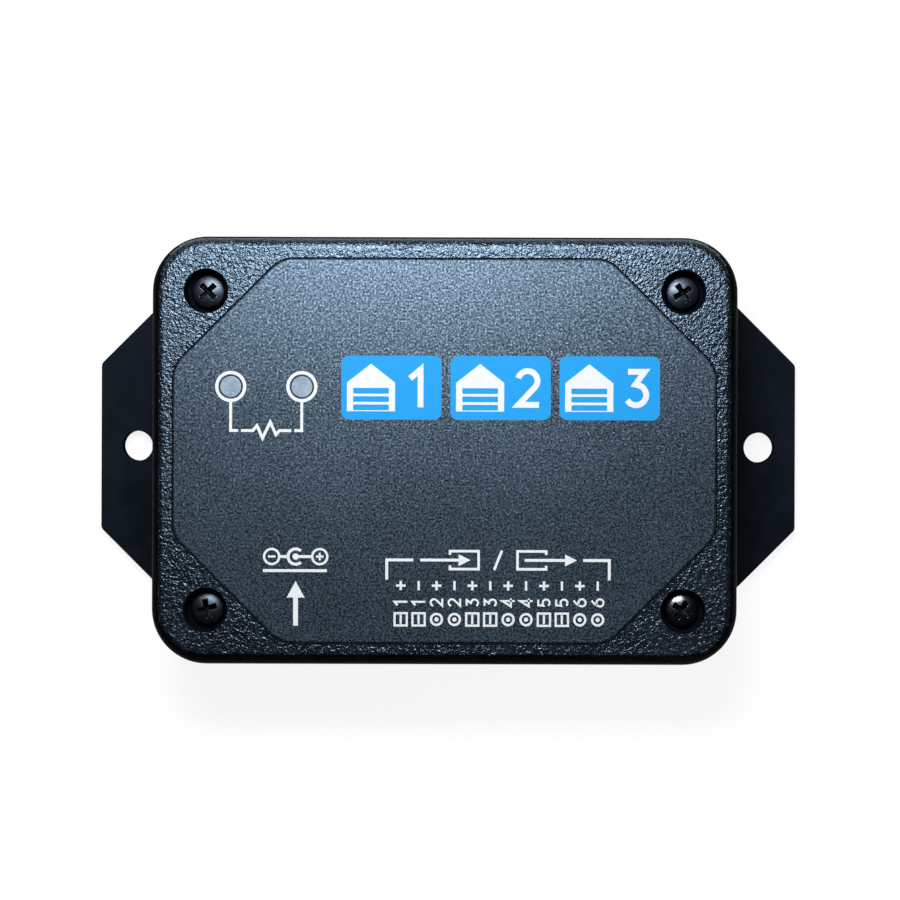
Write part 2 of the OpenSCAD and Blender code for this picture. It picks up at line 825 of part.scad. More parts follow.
function terminal_xs() =
    [for (i = [0:terminal_count - 1]) socket_x + (i - (terminal_count - 1) / 2) * terminal_pitch];

module terminal_socket() {
    hollow_depth = socket_depth - socket_back;
    hollow = [socket_length - 2 * socket_wall, hollow_depth + over, socket_height - 2 * socket_wall];
    pin_hole = terminal_pin + 2 * thread_gap;
    color([0.04, 0.16, 0.07])
        difference() {
            seated_box([socket_x, mouth_y + socket_depth / 2], board_top,
                [socket_length, socket_depth, socket_height]);
            seated_box([socket_x, mouth_y + (hollow_depth - over) / 2], board_top + socket_wall, hollow);
            for (x = terminal_xs()) {
                seated_box([x, socket_rear], terminal_z - pin_hole / 2,
                    [pin_hole, 2 * socket_back + over, pin_hole]);
                seated_box([x, mouth_y + (key_length - over) / 2], board_top + socket_height / 2,
                    [key_width, key_length + over, socket_height]);
            }
        }
}

module terminal_pins() {
    tip_y = mouth_y + terminal_pin_setback;
    end_y = terminal_leg_y + terminal_pin / 2;
    leg_bottom = board_bottom - leg_below;
    color([0.78, 0.66, 0.36])
        for (x = terminal_xs()) {
            seated_box([x, (tip_y + end_y) / 2], terminal_z - terminal_pin / 2,
                [terminal_pin, end_y - tip_y, terminal_pin]);
            seated_box([x, terminal_leg_y], leg_bottom,
                [terminal_pin, terminal_pin, terminal_z + terminal_pin / 2 - leg_bottom]);
        }
}

// Power jack

// Middle and size of each slot that a contact of the jack takes in the board
function jack_slots() =
    [[[jack_x, jack_rear + contact_thickness / 2], [contact_width, contact_thickness]],
     [[jack_x, sleeve_y + sleeve_length - contact_thickness / 2], [contact_width, contact_thickness]],
     [[jack_x + jack_barrel_diameter / 2 + contact_thickness / 2, side_contact_y],
         [contact_thickness, contact_width]]];

// A bar along Y, from y0 to y1, round about the axis of the jack
module jack_round(y0, y1, d) {
    translate([jack_x, y1, jack_z])
        rotate([90, 0, 0])
            cylinder(d = d, h = y1 - y0);
}

module power_jack() {
    support_length = jack_length - jack_front_length;
    slot_gap = 2 * thread_gap;
    color([0.04, 0.04, 0.045])
        difference() {
            union() {
                seated_box([jack_x, mouth_y + jack_front_length / 2], board_top,
                    [jack_width, jack_front_length, jack_height]);
                seated_box([jack_x, jack_rear - support_length / 2], board_top,
                    [jack_barrel_diameter, support_length, jack_axis_height]);
                jack_round(mouth_y + jack_front_length, jack_rear, jack_barrel_diameter);
            }
            jack_round(mouth_y - over, mouth_y + jack_bore_depth, jack_bore_diameter);
            jack_round(mouth_y, jack_rear + over, jack_pin_diameter + 2 * thread_gap);
            seated_box([jack_x, sleeve_y + sleeve_length / 2], sleeve_top - contact_thickness - thread_gap,
                [contact_width + slot_gap, sleeve_length + slot_gap, jack_bore_diameter / 2]);
            seated_box([jack_x, sleeve_y + sleeve_length - contact_thickness / 2], board_top - over,
                [contact_width + slot_gap, contact_thickness + slot_gap, jack_axis_height]);
        }
}

module jack_pin() {
    tip_y = mouth_y + jack_pin_setback;
    color([0.72, 0.72, 0.74]) {
        jack_round(tip_y + jack_pin_diameter / 2, jack_rear + contact_thickness, jack_pin_diameter);
        translate([jack_x, tip_y + jack_pin_diameter / 2, jack_z])
            sphere(d = jack_pin_diameter);
        seated_box(jack_slots()[0][0], board_bottom - leg_below,
            [contact_width, contact_thickness, jack_z + contact_width / 2 - board_bottom + leg_below]);
    }
}

module jack_contacts() {
    sleeve_bottom = sleeve_top - contact_thickness;
    color([0.75, 0.74, 0.7]) {
        seated_box([jack_x, sleeve_y + sleeve_length / 2], sleeve_bottom,
            [contact_width, sleeve_length, contact_thickness]);
        seated_box(jack_slots()[1][0], board_bottom - leg_below,
            [contact_width, contact_thickness, sleeve_top - board_bottom + leg_below]);
        seated_box(jack_slots()[2][0], board_bottom - leg_below,
            [contact_thickness, contact_width, board_thickness + leg_below + side_contact_height]);
    }
}

// Relays

function relay_middle(i) =
    [board_right - relay_from_end - relay_width / 2 - (relay_count - 1 - i) * relay_pitch,
     relay_above_middle];

module relay(i) {
    color([0.08, 0.2, 0.5])
        translate([relay_middle(i)[0], relay_middle(i)[1], board_top])
            rounded_block(relay_width, relay_length, relay_height, relay_corner_radius,
                relay_edge_radius);
}

module relay_legs() {
    color([0.75, 0.74, 0.7])
        for (r = [0:relay_count - 1], leg = RELAY_LEGS)
            post(relay_middle(r) + leg, board_bottom - leg_below, board_top, relay_leg_diameter);
}

// Radio module

module radio_board() {
    holes_per_side = floor((radio_length - antenna_length - half_hole_margin) / half_hole_pitch);
    color([0.05, 0.1, 0.22])
        difference() {
            seated_box([radio_x, -radio_below_middle], board_top,
                [radio_length, radio_width, radio_thickness]);
            for (side = [-1, 1], i = [0:holes_per_side - 1])
                post([radio_x + radio_length / 2 - half_hole_margin - i * half_hole_pitch,
                    -radio_below_middle + side * radio_width / 2], board_top - over, radio_top + over,
                    half_hole_diameter);
        }
}

module radio_shield() {
    color([0.7, 0.71, 0.72])
        translate([shield_x, -radio_below_middle, radio_top])
            difference() {
                rounded_block(shield_length, shield_width, shield_height, SHIELD_RADII[0], SHIELD_RADII[1]);
                rounded_prism(shield_length - 2 * shield_sheet, shield_width - 2 * shield_sheet,
                    SHIELD_RADII[0] - shield_sheet, -over, shield_height - shield_sheet);
            }
}

// Small components

module regulator() {
    color([0.05, 0.05, 0.055])
        seated_box(regulator_middle, board_top + body_lift, regulator_size);
}

module regulator_legs() {
    color([0.75, 0.74, 0.7])
        leg_rows(regulator_middle, regulator_legs_per_side, regulator_leg_pitch, REGULATOR_LEG,
            regulator_size[1], body_lift + regulator_size[2] / 2);
}

module choke() {
    color([0.16, 0.16, 0.17])
        translate([choke_middle[0], choke_middle[1], board_top])
            rounded_block(choke_side, choke_side, choke_height, CHOKE_RADII[0], CHOKE_RADII[1]);
}

function can_middle(i) = [board_left + can_from_left, can_above_middle + i * can_spacing];

module capacitor_cans() {
    color([0.75, 0.76, 0.78])
        for (i = [0, 1])
            translate([can_middle(i)[0], can_middle(i)[1], board_top + can_base_height])
                rotate_extrude()
                    edge_section(can_diameter / 2, can_height, can_edge_radius);
}

module capacitor_bases() {
    edge = can_diameter / 2 + can_base_overhang;
    cut = edge - can_base_cut;
    color([0.05, 0.05, 0.055])
        for (i = [0, 1])
            translate([can_middle(i)[0], can_middle(i)[1], board_top])
                linear_extrude(can_base_height)
                    polygon([[edge, -edge], [edge, cut], [cut, edge], [-cut, edge], [-edge, cut],
                        [-edge, -edge]]);
}

module input_fuse() {
    color([0.12, 0.3, 0.16])
        seated_box(fuse_middle, board_top, fuse_size);
}

module input_diode() {
    color([0.06, 0.06, 0.065])
        seated_box(input_diode_middle, board_top, diode_size);
}

function optocoupler_middle(i) = optocoupler_first + [i * optocoupler_pitch, 0];

module optocouplers() {
    color([0.88, 0.88, 0.86])
        for (i = [0:relay_count - 1])
            seated_box(optocoupler_middle(i), board_top + body_lift, optocoupler_size);
}

module optocoupler_legs() {
    color([0.75, 0.74, 0.7])
        for (i = [0:relay_count - 1])
            leg_rows(optocoupler_middle(i), 2, optocoupler_leg_pitch, OPTOCOUPLER_LEG,
                optocoupler_size[1], body_lift + optocoupler_size[2] / 2);
}

function transistor_middle(i) = [relay_middle(i)[0] - driver_offset, driver_y];

module driver_transistors() {
    color([0.05, 0.05, 0.055])
        for (i = [0:relay_count - 1])
            seated_box(transistor_middle(i), board_top + body_lift, transistor_size);
}

module transistor_legs() {
    rise = body_lift + transistor_size[2] / 2;
    color([0.75, 0.74, 0.7])
        for (i = [0:relay_count - 1])
            translate([transistor_middle(i)[0], transistor_middle(i)[1], board_top]) {
                translate([0, transistor_size[1] / 2, 0])
                    bent_leg(TRANSISTOR_LEG, rise);
                for (side = [-1, 1])
                    rotate(180)
                        translate([side * transistor_leg_pitch, transistor_size[1] / 2, 0])
                            bent_leg(TRANSISTOR_LEG, rise);
            }
}

module flyback_diodes() {
    color([0.06, 0.06, 0.065])
        for (i = [0:relay_count - 1])
            seated_box([relay_middle(i)[0] + driver_offset, driver_y], board_top, diode_size);
}

// Two rows of chips lie below the relay drivers
function chip_middle(row, i) = chip_first + [i * chip_pitch, -row * chip_row_pitch];

module chip_row(row) {
    body = [chip_size[0] - 2 * chip_cap, chip_size[1], chip_size[2]];
    for (i = [0:chip_columns - 1])
        seated_box(chip_middle(row, i), board_top, body);
}

module chip_resistors() {
    color([0.05, 0.05, 0.055])
        chip_row(0);
}

module chip_capacitors() {
    color([0.6, 0.48, 0.34])
        chip_row(1);
}

module chip_end_caps() {
    offset_x = (chip_size[0] - chip_cap) / 2;
    color([0.78, 0.78, 0.78])
        for (row = [0, 1], i = [0:chip_columns - 1], side = [-1, 1])
            seated_box(chip_middle(row, i) + [side * offset_x, 0], board_top,
                [chip_cap, chip_size[1], chip_size[2]]);
}

module status_lamps() {
    color([0.9, 0.9, 0.88])
        for (x = [pipe_left_x, pipe_right_x])
            difference() {
                seated_box([x, pipe_above_middle], board_top, lamp_size);
                post([x, pipe_above_middle], board_top + lamp_size[2] - lamp_lens_depth,
                    board_top + lamp_size[2] + over, lamp_lens_diameter);
            }
}

// Reset switch

module switch_base() {
    color([0.05, 0.05, 0.055])
        difference() {
            seated_box(switch_middle, board_top, [switch_side, switch_side, switch_height - switch_plate]);
            post(switch_middle, switch_well, board_top + switch_height + over,
                button_collar_diameter + 4 * button_gap);
        }
}

module switch_plate() {
    plate_bottom = board_top + switch_height - switch_plate;
    color([0.75, 0.76, 0.78])
        difference() {
            seated_box(switch_middle, plate_bottom, [switch_side, switch_side, switch_plate]);
            post(switch_middle, plate_bottom - over, plate_bottom + over, button_diameter + 2 * button_gap);
        }
}

module reset_button() {
    collar_top = board_top + switch_height - switch_plate - button_gap;
    color([0.85, 0.82, 0.75]) {
        post(switch_middle, collar_top - button_collar, collar_top, button_collar_diameter);
        post(switch_middle, collar_top - button_collar, board_top + switch_height + button_rise,
            button_diameter);
    }
}

// Programming header

function header_xs() =
    [for (i = [0:header_count - 1]) header_middle[0] + (i - (header_count - 1) / 2) * header_pitch];

module programming_header() {
    hole = header_pin + 2 * thread_gap;
    color([0.05, 0.05, 0.055])
        difference() {
            seated_box(header_middle, board_top, [header_count * header_pitch, header_body, header_body]);
            for (x = header_xs())
                seated_box([x, header_middle[1]], board_top - over, [hole, hole, header_body + 2 * over]);
        }
}

module programming_pins() {
    color([0.78, 0.66, 0.36])
        for (x = header_xs())
            seated_box([x, header_middle[1]], board_bottom - leg_below,
                [header_pin, header_pin, board_thickness + leg_below + header_pin_height]);
}

base_tray();
top_cover();
front_label();
light_pipe(pipe_left_x);  // light_pipe_left
light_pipe(pipe_right_x);  // light_pipe_right
cover_screw(0);  // cover_screw_upper_left
cover_screw(1);  // cover_screw_upper_right
cover_screw(2);  // cover_screw_lower_left
cover_screw(3);  // cover_screw_lower_right
circuit_board();
board_screws();
terminal_socket();
terminal_pins();
power_jack();
jack_pin();
jack_contacts();
relay(0);  // relay_1
relay(1);  // relay_2
relay(2);  // relay_3
relay_legs();
radio_board();
radio_shield();
regulator();
regulator_legs();
choke();
capacitor_cans();
capacitor_bases();
input_fuse();
input_diode();
optocouplers();
optocoupler_legs();
driver_transistors();
transistor_legs();
flyback_diodes();
chip_resistors();
chip_capacitors();
chip_end_caps();
status_lamps();
switch_base();
switch_plate();
reset_button();
programming_header();
programming_pins();
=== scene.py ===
"""Looks of a wall-mounted door controller: finishes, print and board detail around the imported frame."""
import math

import bmesh
import bpy
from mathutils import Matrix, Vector
from mathutils.geometry import tessellate_polygon


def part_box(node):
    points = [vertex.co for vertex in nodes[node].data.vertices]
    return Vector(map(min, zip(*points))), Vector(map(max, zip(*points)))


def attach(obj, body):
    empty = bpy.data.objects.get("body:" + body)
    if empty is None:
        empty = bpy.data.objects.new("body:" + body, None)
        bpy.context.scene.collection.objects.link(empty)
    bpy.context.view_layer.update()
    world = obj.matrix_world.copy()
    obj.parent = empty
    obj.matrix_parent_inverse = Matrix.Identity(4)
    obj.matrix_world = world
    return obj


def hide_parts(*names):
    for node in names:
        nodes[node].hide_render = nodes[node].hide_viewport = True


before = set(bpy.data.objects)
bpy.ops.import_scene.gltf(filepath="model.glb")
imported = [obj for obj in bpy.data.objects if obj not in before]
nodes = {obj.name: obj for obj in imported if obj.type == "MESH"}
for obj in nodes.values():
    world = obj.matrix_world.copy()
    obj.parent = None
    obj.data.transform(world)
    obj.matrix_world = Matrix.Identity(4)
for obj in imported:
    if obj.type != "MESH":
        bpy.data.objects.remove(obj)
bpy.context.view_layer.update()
MM = 0.001

# Places that the frame gives, in millimetres


def node_box(name):
    """Lowest and highest corner of a node, in millimetres."""
    low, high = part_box(name)
    return low / MM, high / MM


def node_middle(name):
    low, high = node_box(name)
    return (low + high) / 2


CASE_HIGH = node_box("top_cover")[1]
BASE_HIGH = node_box("base_tray")[1]
LABEL_LOW, LABEL_TOP = (corner.z for corner in node_box("front_label"))
BOARD_TOP = node_box("circuit_board")[1].z
WINDOWS = [node_middle("light_pipe_left"), node_middle("light_pipe_right")]
SCREW_AXIS = node_middle("cover_screw_upper_right")
HEAD_HEIGHT = 2.4
HEAD_SEAT = node_box("cover_screw_upper_right")[1].z - HEAD_HEIGHT
PIN_LOW, PIN_HIGH = node_box("terminal_pins")
JACK = node_middle("power_jack")
RELAYS = ("relay_1", "relay_2", "relay_3")
TERMINAL_COUNT = 12
TERMINAL_PIN = 0.8
TERMINAL_PITCH = (PIN_HIGH.x - PIN_LOW.x - TERMINAL_PIN) / (TERMINAL_COUNT - 1)
TERMINAL_XS = [PIN_LOW.x + TERMINAL_PIN / 2 + i * TERMINAL_PITCH for i in range(TERMINAL_COUNT)]
WALL = 2.4


# Wiring of shader nodes


def srgb(red, green, blue):
    """A colour written as 0 to 255 display values, as the linear colour that a socket takes."""
    linear = []
    for value in (red, green, blue):
        share = value / 255
        linear.append(share / 12.92 if value <= 10 else ((share + 0.055) / 1.055) ** 2.4)
    return (*linear, 1)


def join(tree, value, socket):
    """Links a socket's value, or sets a plain one."""
    if isinstance(value, bpy.types.NodeSocket):
        tree.links.new(value, socket)
    else:
        socket.default_value = value


def set_inputs(tree, node, inputs):
    """Links or sets a node's inputs, given by name or number."""
    for key, value in dict(inputs).items():
        join(tree, value, node.inputs[key])


def add(tree, kind, inputs=(), **settings):
    node = tree.nodes.new("ShaderNode" + kind)
    for key, value in settings.items():
        setattr(node, key, value)
    set_inputs(tree, node, inputs)
    return node


def maths(tree, operation, *values):
    return add(tree, "Math", enumerate(values), operation=operation).outputs[0]


def raised(tree, base, mask, amount):
    """A value that rises by an amount where a mask is full."""
    return maths(tree, "MULTIPLY_ADD", mask, amount, base)


def vector_maths(tree, operation, *values):
    return add(tree, "VectorMath", enumerate(values), operation=operation).outputs[0]


def scaled(tree, vector, factor):
    return add(tree, "VectorMath", {0: vector, "Scale": factor}, operation="SCALE").outputs[0]


def eased_range(tree, value, low, high, to_low=0.0, to_high=1.0):
    sockets = {"Value": value, "From Min": low, "From Max": high, "To Min": to_low, "To Max": to_high}
    return add(tree, "MapRange", sockets, interpolation_type="SMOOTHSTEP").outputs["Result"]


def mixed(tree, factor, first, second):
    """A mix of two colours, which this node takes in its inputs 6 and 7 and gives as its output 2."""
    return add(tree, "Mix", {0: factor, 6: first, 7: second}, data_type="RGBA").outputs[2]


def noise(tree, position, scale, detail=2.0, roughness=0.5):
    sockets = {"Vector": position, "Scale": scale, "Detail": detail, "Roughness": roughness}
    return add(tree, "TexNoise", sockets).outputs


def bump(tree, height, depth):
    """A bumped normal, whose full height is a depth in millimetres."""
    return add(tree, "Bump", {"Height": height, "Distance": depth * MM, "Strength": 1.0}).outputs["Normal"]


# Effects that several finishes share

NOISE_MEAN = (0.5, 0.5, 0.5)


def effect_group(name, outputs):
    """An empty shader group for an effect: its tree, the position counted in sizes, and its outputs."""
    tree = bpy.data.node_groups.new(name, "ShaderNodeTree")
    for socket, kind in (("Position", "Vector"), ("Size", "Float")):
        tree.interface.new_socket(socket, in_out="INPUT", socket_type="NodeSocket" + kind)
    for socket in outputs:
        tree.interface.new_socket(socket, in_out="OUTPUT", socket_type="NodeSocketFloat")
    start = tree.nodes.new("NodeGroupInput").outputs
    place = scaled(tree, start["Position"], maths(tree, "DIVIDE", 1.0, start["Size"]))
    return tree, place, tree.nodes.new("NodeGroupOutput").inputs


def use(tree, effect, position, size):
    """The outputs of a shared effect, placed with a size in millimetres."""
    return add(tree, "Group", {"Position": position, "Size": size * MM}, node_tree=effect).outputs


def pebble_grain_group():
    """Low rounded wrinkles and pebbles, as a mould's leather grain leaves them, and a mask of their valleys
    for painted shade.
    """
    tree, place, end = effect_group("pebble_grain", ("Height", "ValleyShade"))
    drift = vector_maths(tree, "SUBTRACT", noise(tree, place, 0.7)["Color"], NOISE_MEAN)
    bent = vector_maths(tree, "ADD", place, scaled(tree, drift, 1.5))
    cells = add(tree, "TexVoronoi", {"Vector": bent, "Scale": 1.0, "Smoothness": 0.35}, feature="SMOOTH_F1")
    pebble = maths(tree, "SUBTRACT", 1.0, cells.outputs["Distance"])
    wrinkle = noise(tree, bent, 1.7, 1.0)["Fac"]
    fine = noise(tree, place, 3.2, 1.0)["Fac"]
    height = raised(tree, maths(tree, "MULTIPLY", pebble, 0.5), wrinkle, 0.77)
    join(tree, raised(tree, height, fine, 0.3), end["Height"])
    # The valleys' mask, which the case plastic uses to paint shade there.
    join(tree, eased_range(tree, pebble, 0.2, 0.55, 1.0, 0.0), end["ValleyShade"])
    return tree


def fine_speckle_group():
    """Fine tooth with scattered bright flecks, for matte film, ink and moulded packages."""
    tree, place, end = effect_group("fine_speckle", ("Tooth", "Flecks"))
    dots = add(tree, "TexVoronoi", {"Vector": place, "Scale": 0.9}, feature="F1").outputs
    bright = add(tree, "SeparateColor", {"Color": dots["Color"]}).outputs["Red"]
    close = eased_range(tree, dots["Distance"], 0.15, 0.5, 1.0, 0.0)
    join(tree, noise(tree, place, 1.0, 3.0, 0.65)["Fac"], end["Tooth"])
    join(tree, maths(tree, "MULTIPLY", close, eased_range(tree, bright, 0.72, 0.95)), end["Flecks"])
    return tree


def handling_group():
    """Broad soft patches where a surface is a little duller or shinier from handling."""
    tree, place, end = effect_group("handling_marks", ("Patches",))
    cloud = noise(tree, place, 1.0, 4.0, 0.6)["Fac"]
    join(tree, eased_range(tree, cloud, 0.35, 0.68), end["Patches"])
    return tree


def worn_edge_group():
    """Edges rubbed bright, broken up by a little noise."""
    tree, place, end = effect_group("worn_edges", ("Wear",))
    pointed = eased_range(tree, add(tree, "NewGeometry").outputs["Pointiness"], 0.53, 0.62)
    broken = eased_range(tree, noise(tree, place, 1.0, 3.0)["Fac"], 0.3, 0.6)
    join(tree, maths(tree, "MULTIPLY", pointed, broken), end["Wear"])
    return tree


PEBBLE_GRAIN = pebble_grain_group()
FINE_SPECKLE = fine_speckle_group()
HANDLING = handling_group()
WORN_EDGES = worn_edge_group()


# Finishes, with sizes and depths in millimetres

# Blue tint on the plastic's and film's reflections, standing in for a bluish light: painted light colour.
LIGHT_TINT_ON_SHEEN = (0.5, 0.73, 1.0, 1)
SHEEN_IOR = 1.74
GRAIN_CELL = 0.76
LABEL_TOOTH = 0.36
LABEL_FLECK = 0.38
TOOTH_SHIFT = (0.3, 0.2, 0.1)


def finish(name):
    """A new material with its tree, its shader and the surface position in the piece's own frame."""
    material = bpy.data.materials.new(name)
    material.use_nodes = True
    tree = material.node_tree
    position = add(tree, "TexCoord").outputs["Object"]
    return material, tree, tree.nodes["Principled BSDF"], position


def case_plastic(name, roughness, shine, depth):
    """Black moulded plastic with a pebbled grain of a given depth, and painted shade in the grain's
    valleys.
    """
    material, tree, shader, position = finish(name)
    grain = use(tree, PEBBLE_GRAIN, position, GRAIN_CELL)
    patches = use(tree, HANDLING, position, 14)["Patches"]
    body = mixed(tree, patches, srgb(4, 5, 7), srgb(8, 10, 13))
    dull = raised(tree, roughness, grain["ValleyShade"], 0.03)
    set_inputs(tree, shader, {
        # Painted shade: the colour darkens in the grain's valleys, where shade would fall.
        "Base Color": mixed(tree, grain["ValleyShade"], body, srgb(2, 2, 3)),
        "Roughness": raised(tree, dull, patches, 0.03),
        "IOR": SHEEN_IOR,
        "Specular IOR Level": shine,
        # Bluish tint on the reflections: painted light colour.
        "Specular Tint": LIGHT_TINT_ON_SHEEN,
        "Normal": bump(tree, grain["Height"], depth),
    })
    return material


def smooth_case_plastic(name, shine):
    """The case's black plastic where the mould has no grain: flanges, bores and the inside."""
    material, tree, shader, position = finish(name)
    patches = use(tree, HANDLING, position, 6)["Patches"]
    set_inputs(tree, shader, {
        "Base Color": mixed(tree, patches, srgb(14, 19, 26), srgb(18, 24, 32)),
        "Roughness": raised(tree, 0.42, patches, 0.1),
        "Specular IOR Level": shine,
        # Bluish tint on the reflections: painted light colour.
        "Specular Tint": LIGHT_TINT_ON_SHEEN,
        "Normal": bump(tree, use(tree, FINE_SPECKLE, position, 0.5)["Tooth"], 0.012),
    })
    return material


def tilted(tree, position, size, amount):
    """The surface's normal, tipped a little at random in each fleck of a given size."""
    flecks = noise(tree, position, 1 / (size * MM), 0.0)["Color"]
    tip = scaled(tree, vector_maths(tree, "SUBTRACT", flecks, NOISE_MEAN), amount)
    leaning = vector_maths(tree, "ADD", add(tree, "NewGeometry").outputs["Normal"], tip)
    return vector_maths(tree, "NORMALIZE", leaning)


def label_film():
    """Dark matte film whose fine tooth sparkles."""
    material, tree, shader, position = finish("label_film_matte")
    shifted = vector_maths(tree, "ADD", position, TOOTH_SHIFT)
    tooth = noise(tree, shifted, 1 / (LABEL_TOOTH * MM), 0.0)["Fac"]
    grit = add(tree, "MapRange", {"Value": tooth, "From Min": 0.35, "From Max": 0.65}).outputs["Result"]
    dull = raised(tree, 0.31, grit, 0.08)
    patches = use(tree, HANDLING, position, 25)["Patches"]
    set_inputs(tree, shader, {
        "Base Color": mixed(tree, grit, srgb(0, 1, 1), srgb(46, 57, 68)),
        "Roughness": raised(tree, dull, patches, 0.03),
        "IOR": SHEEN_IOR,
        "Specular IOR Level": 1.0,
        # Bluish tint on the reflections: painted light colour.
        "Specular Tint": LIGHT_TINT_ON_SHEEN,
        "Normal": tilted(tree, position, LABEL_FLECK, 0.31),
    })
    return material


def printed_ink(name, colour, thin):
    """Screen-printed ink, a little thinner in places, with the film's tooth under it."""
    material, tree, shader, position = finish(name)
    tooth = use(tree, FINE_SPECKLE, position, 0.35)["Tooth"]
    set_inputs(tree, shader, {
        "Base Color": mixed(tree, eased_range(tree, tooth, 0.25, 0.45), thin, colour),
        "Roughness": 0.5,
        "Specular IOR Level": 0.2,
        "Normal": bump(tree, tooth, 0.03),
    })
    return material


def frosted_plastic():
    """Milky clear plastic with a frosted face."""
    material, tree, shader, position = finish("frosted_window")
    speckle = use(tree, FINE_SPECKLE, position, 0.4)
    patches = use(tree, HANDLING, position, 2.5)["Patches"]
    body = mixed(tree, patches, srgb(136, 158, 178), srgb(160, 182, 201))
    set_inputs(tree, shader, {
        "Base Color": mixed(tree, speckle["Flecks"], body, srgb(186, 204, 218)),
        "Roughness": 0.42,
        "Subsurface Weight": 0.25,
        "Subsurface Radius": (MM, MM, MM),
        "Normal": bump(tree, speckle["Tooth"], 0.04),
    })
    return material


def plastic(name, colour, shade, roughness, tooth_size, tooth_depth):
    """Moulded plastic: a colour that drifts to a shade, a fine tooth, soft patches and paler edges."""
    material, tree, shader, position = finish(name)
    patches = use(tree, HANDLING, position, 6)["Patches"]
    worn = use(tree, WORN_EDGES, position, 0.6)["Wear"]
    pale = (*(min(1, c * 1.6 + 0.02) for c in colour[:3]), 1)
    set_inputs(tree, shader, {
        "Base Color": mixed(tree, worn, mixed(tree, patches, shade, colour), pale),
        "Roughness": raised(tree, roughness, patches, 0.12),
        "Normal": bump(tree, use(tree, FINE_SPECKLE, position, tooth_size)["Tooth"], tooth_depth),
    })
    return material


def metal(name, colour, dull, roughness, bright):
    """Plated or finished metal: dull patches, fine scratches and bright edges."""
    material, tree, shader, position = finish(name)
    patches = use(tree, HANDLING, position, 2.2)["Patches"]
    worn = use(tree, WORN_EDGES, position, 0.3)["Wear"]
    stretched = vector_maths(tree, "MULTIPLY", position, (1, 9, 9))
    scratches = use(tree, FINE_SPECKLE, stretched, 0.5)["Tooth"]
    set_inputs(tree, shader, {
        "Base Color": mixed(tree, worn, mixed(tree, patches, dull, colour), bright),
        "Roughness": raised(tree, roughness, scratches, 0.2),
        "Metallic": 1.0,
        "Normal": bump(tree, scratches, 0.006),
    })
    return material


def solder_mask(name, colour, over_copper):
    """Lacquer over glass cloth and a copper pour, whose weave shows faintly, with a bare tan edge."""
    material, tree, shader, position = finish(name)
    cloth = {"Vector": position, "Scale": 900.0, "Distortion": 1.5}
    weave = add(tree, "TexWave", cloth, wave_type="BANDS").outputs["Color"]
    pour = use(tree, HANDLING, position, 9)["Patches"]
    tooth = use(tree, FINE_SPECKLE, position, 0.25)["Tooth"]
    body = mixed(tree, maths(tree, "MULTIPLY", pour, 0.6), colour, over_copper)
    woven = mixed(tree, maths(tree, "MULTIPLY", weave, 0.12), body, over_copper)
    facing = add(tree, "SeparateXYZ", {"Vector": add(tree, "NewGeometry").outputs["Normal"]}).outputs["Z"]
    edge = maths(tree, "LESS_THAN", maths(tree, "ABSOLUTE", facing), 0.5)
    set_inputs(tree, shader, {
        "Base Color": mixed(tree, edge, woven, srgb(176, 160, 104)),
        "Roughness": raised(tree, 0.22, tooth, 0.15),
        "Normal": bump(tree, weave, 0.008),
    })
    return material


CASE_FRONT = case_plastic("case_plastic_front", roughness=0.25, shine=1.0, depth=0.165)
CASE_SIDE = case_plastic("case_plastic_side", roughness=0.42, shine=0.3, depth=0.16)
# Painted shade: the rim's copy of the case plastic has almost no reflection, so the rounded rim renders
# dark.
CASE_RIM_SHADE = case_plastic("case_plastic_rim_shade", roughness=0.45, shine=0.008, depth=0.1)
CASE_SMOOTH = smooth_case_plastic("case_plastic_smooth", shine=0.14)
# Painted shade: a copy of the smooth plastic with no reflection, for bores, hole walls and recess walls.
CASE_BORE_SHADE = smooth_case_plastic("case_plastic_bore_shade", shine=0.0)
LABEL_FILM = label_film()
WHITE_INK = printed_ink("white_ink", srgb(237, 242, 246), srgb(208, 215, 222))
BLUE_INK = printed_ink("blue_ink", srgb(24, 162, 240), srgb(18, 146, 222))
WINDOW = frosted_plastic()
BLACK_STEEL = metal("black_steel", srgb(92, 103, 116), srgb(74, 84, 96), 0.28, srgb(140, 150, 160))
# Partly painted highlight: a glossier copy of the screw steel, also made brighter so one screw's highlight
# shows larger.
GLOSSY_LIT_STEEL = metal("black_steel_glossy_lit", srgb(176, 182, 190), srgb(148, 154, 162), 0.12,
                     srgb(196, 202, 208))
# Painted shade: a darker copy of the screw steel for the cross recesses.
RECESS_SHADE_STEEL = metal("black_steel_recess_shade", srgb(34, 36, 40), srgb(24, 26, 29), 0.42, srgb(56, 58, 62))
ZINC = metal("zinc_plate", srgb(196, 198, 202), srgb(180, 182, 186), 0.24, srgb(226, 227, 229))
TIN = metal("tin_plate", srgb(204, 203, 198), srgb(172, 171, 166), 0.26, srgb(228, 228, 225))
GOLD = metal("gold_plate", srgb(226, 190, 108), srgb(190, 154, 82), 0.22, srgb(244, 214, 140))
CAN = metal("drawn_can", srgb(200, 202, 206), srgb(172, 174, 178), 0.3, srgb(228, 229, 231))
BOARD_MASK = solder_mask("green_mask", srgb(18, 74, 42), srgb(34, 104, 58))
TRACE_MASK = solder_mask("green_mask_on_copper", srgb(44, 122, 66), srgb(62, 142, 80))
RADIO_MASK = solder_mask("blue_mask", srgb(16, 30, 60), srgb(26, 46, 84))
SOCKET_GREEN = plastic("socket_green", srgb(44, 128, 66), srgb(36, 112, 56), 0.42, 0.3, 0.02)
JACK_BLACK = plastic("jack_black", srgb(22, 22, 24), srgb(17, 17, 19), 0.4, 0.3, 0.02)
RELAY_BLUE = plastic("relay_blue", srgb(32, 92, 176), srgb(26, 80, 158), 0.3, 0.5, 0.015)
PACKAGE = plastic("package_black", srgb(34, 34, 36), srgb(27, 27, 29), 0.5, 0.12, 0.012)
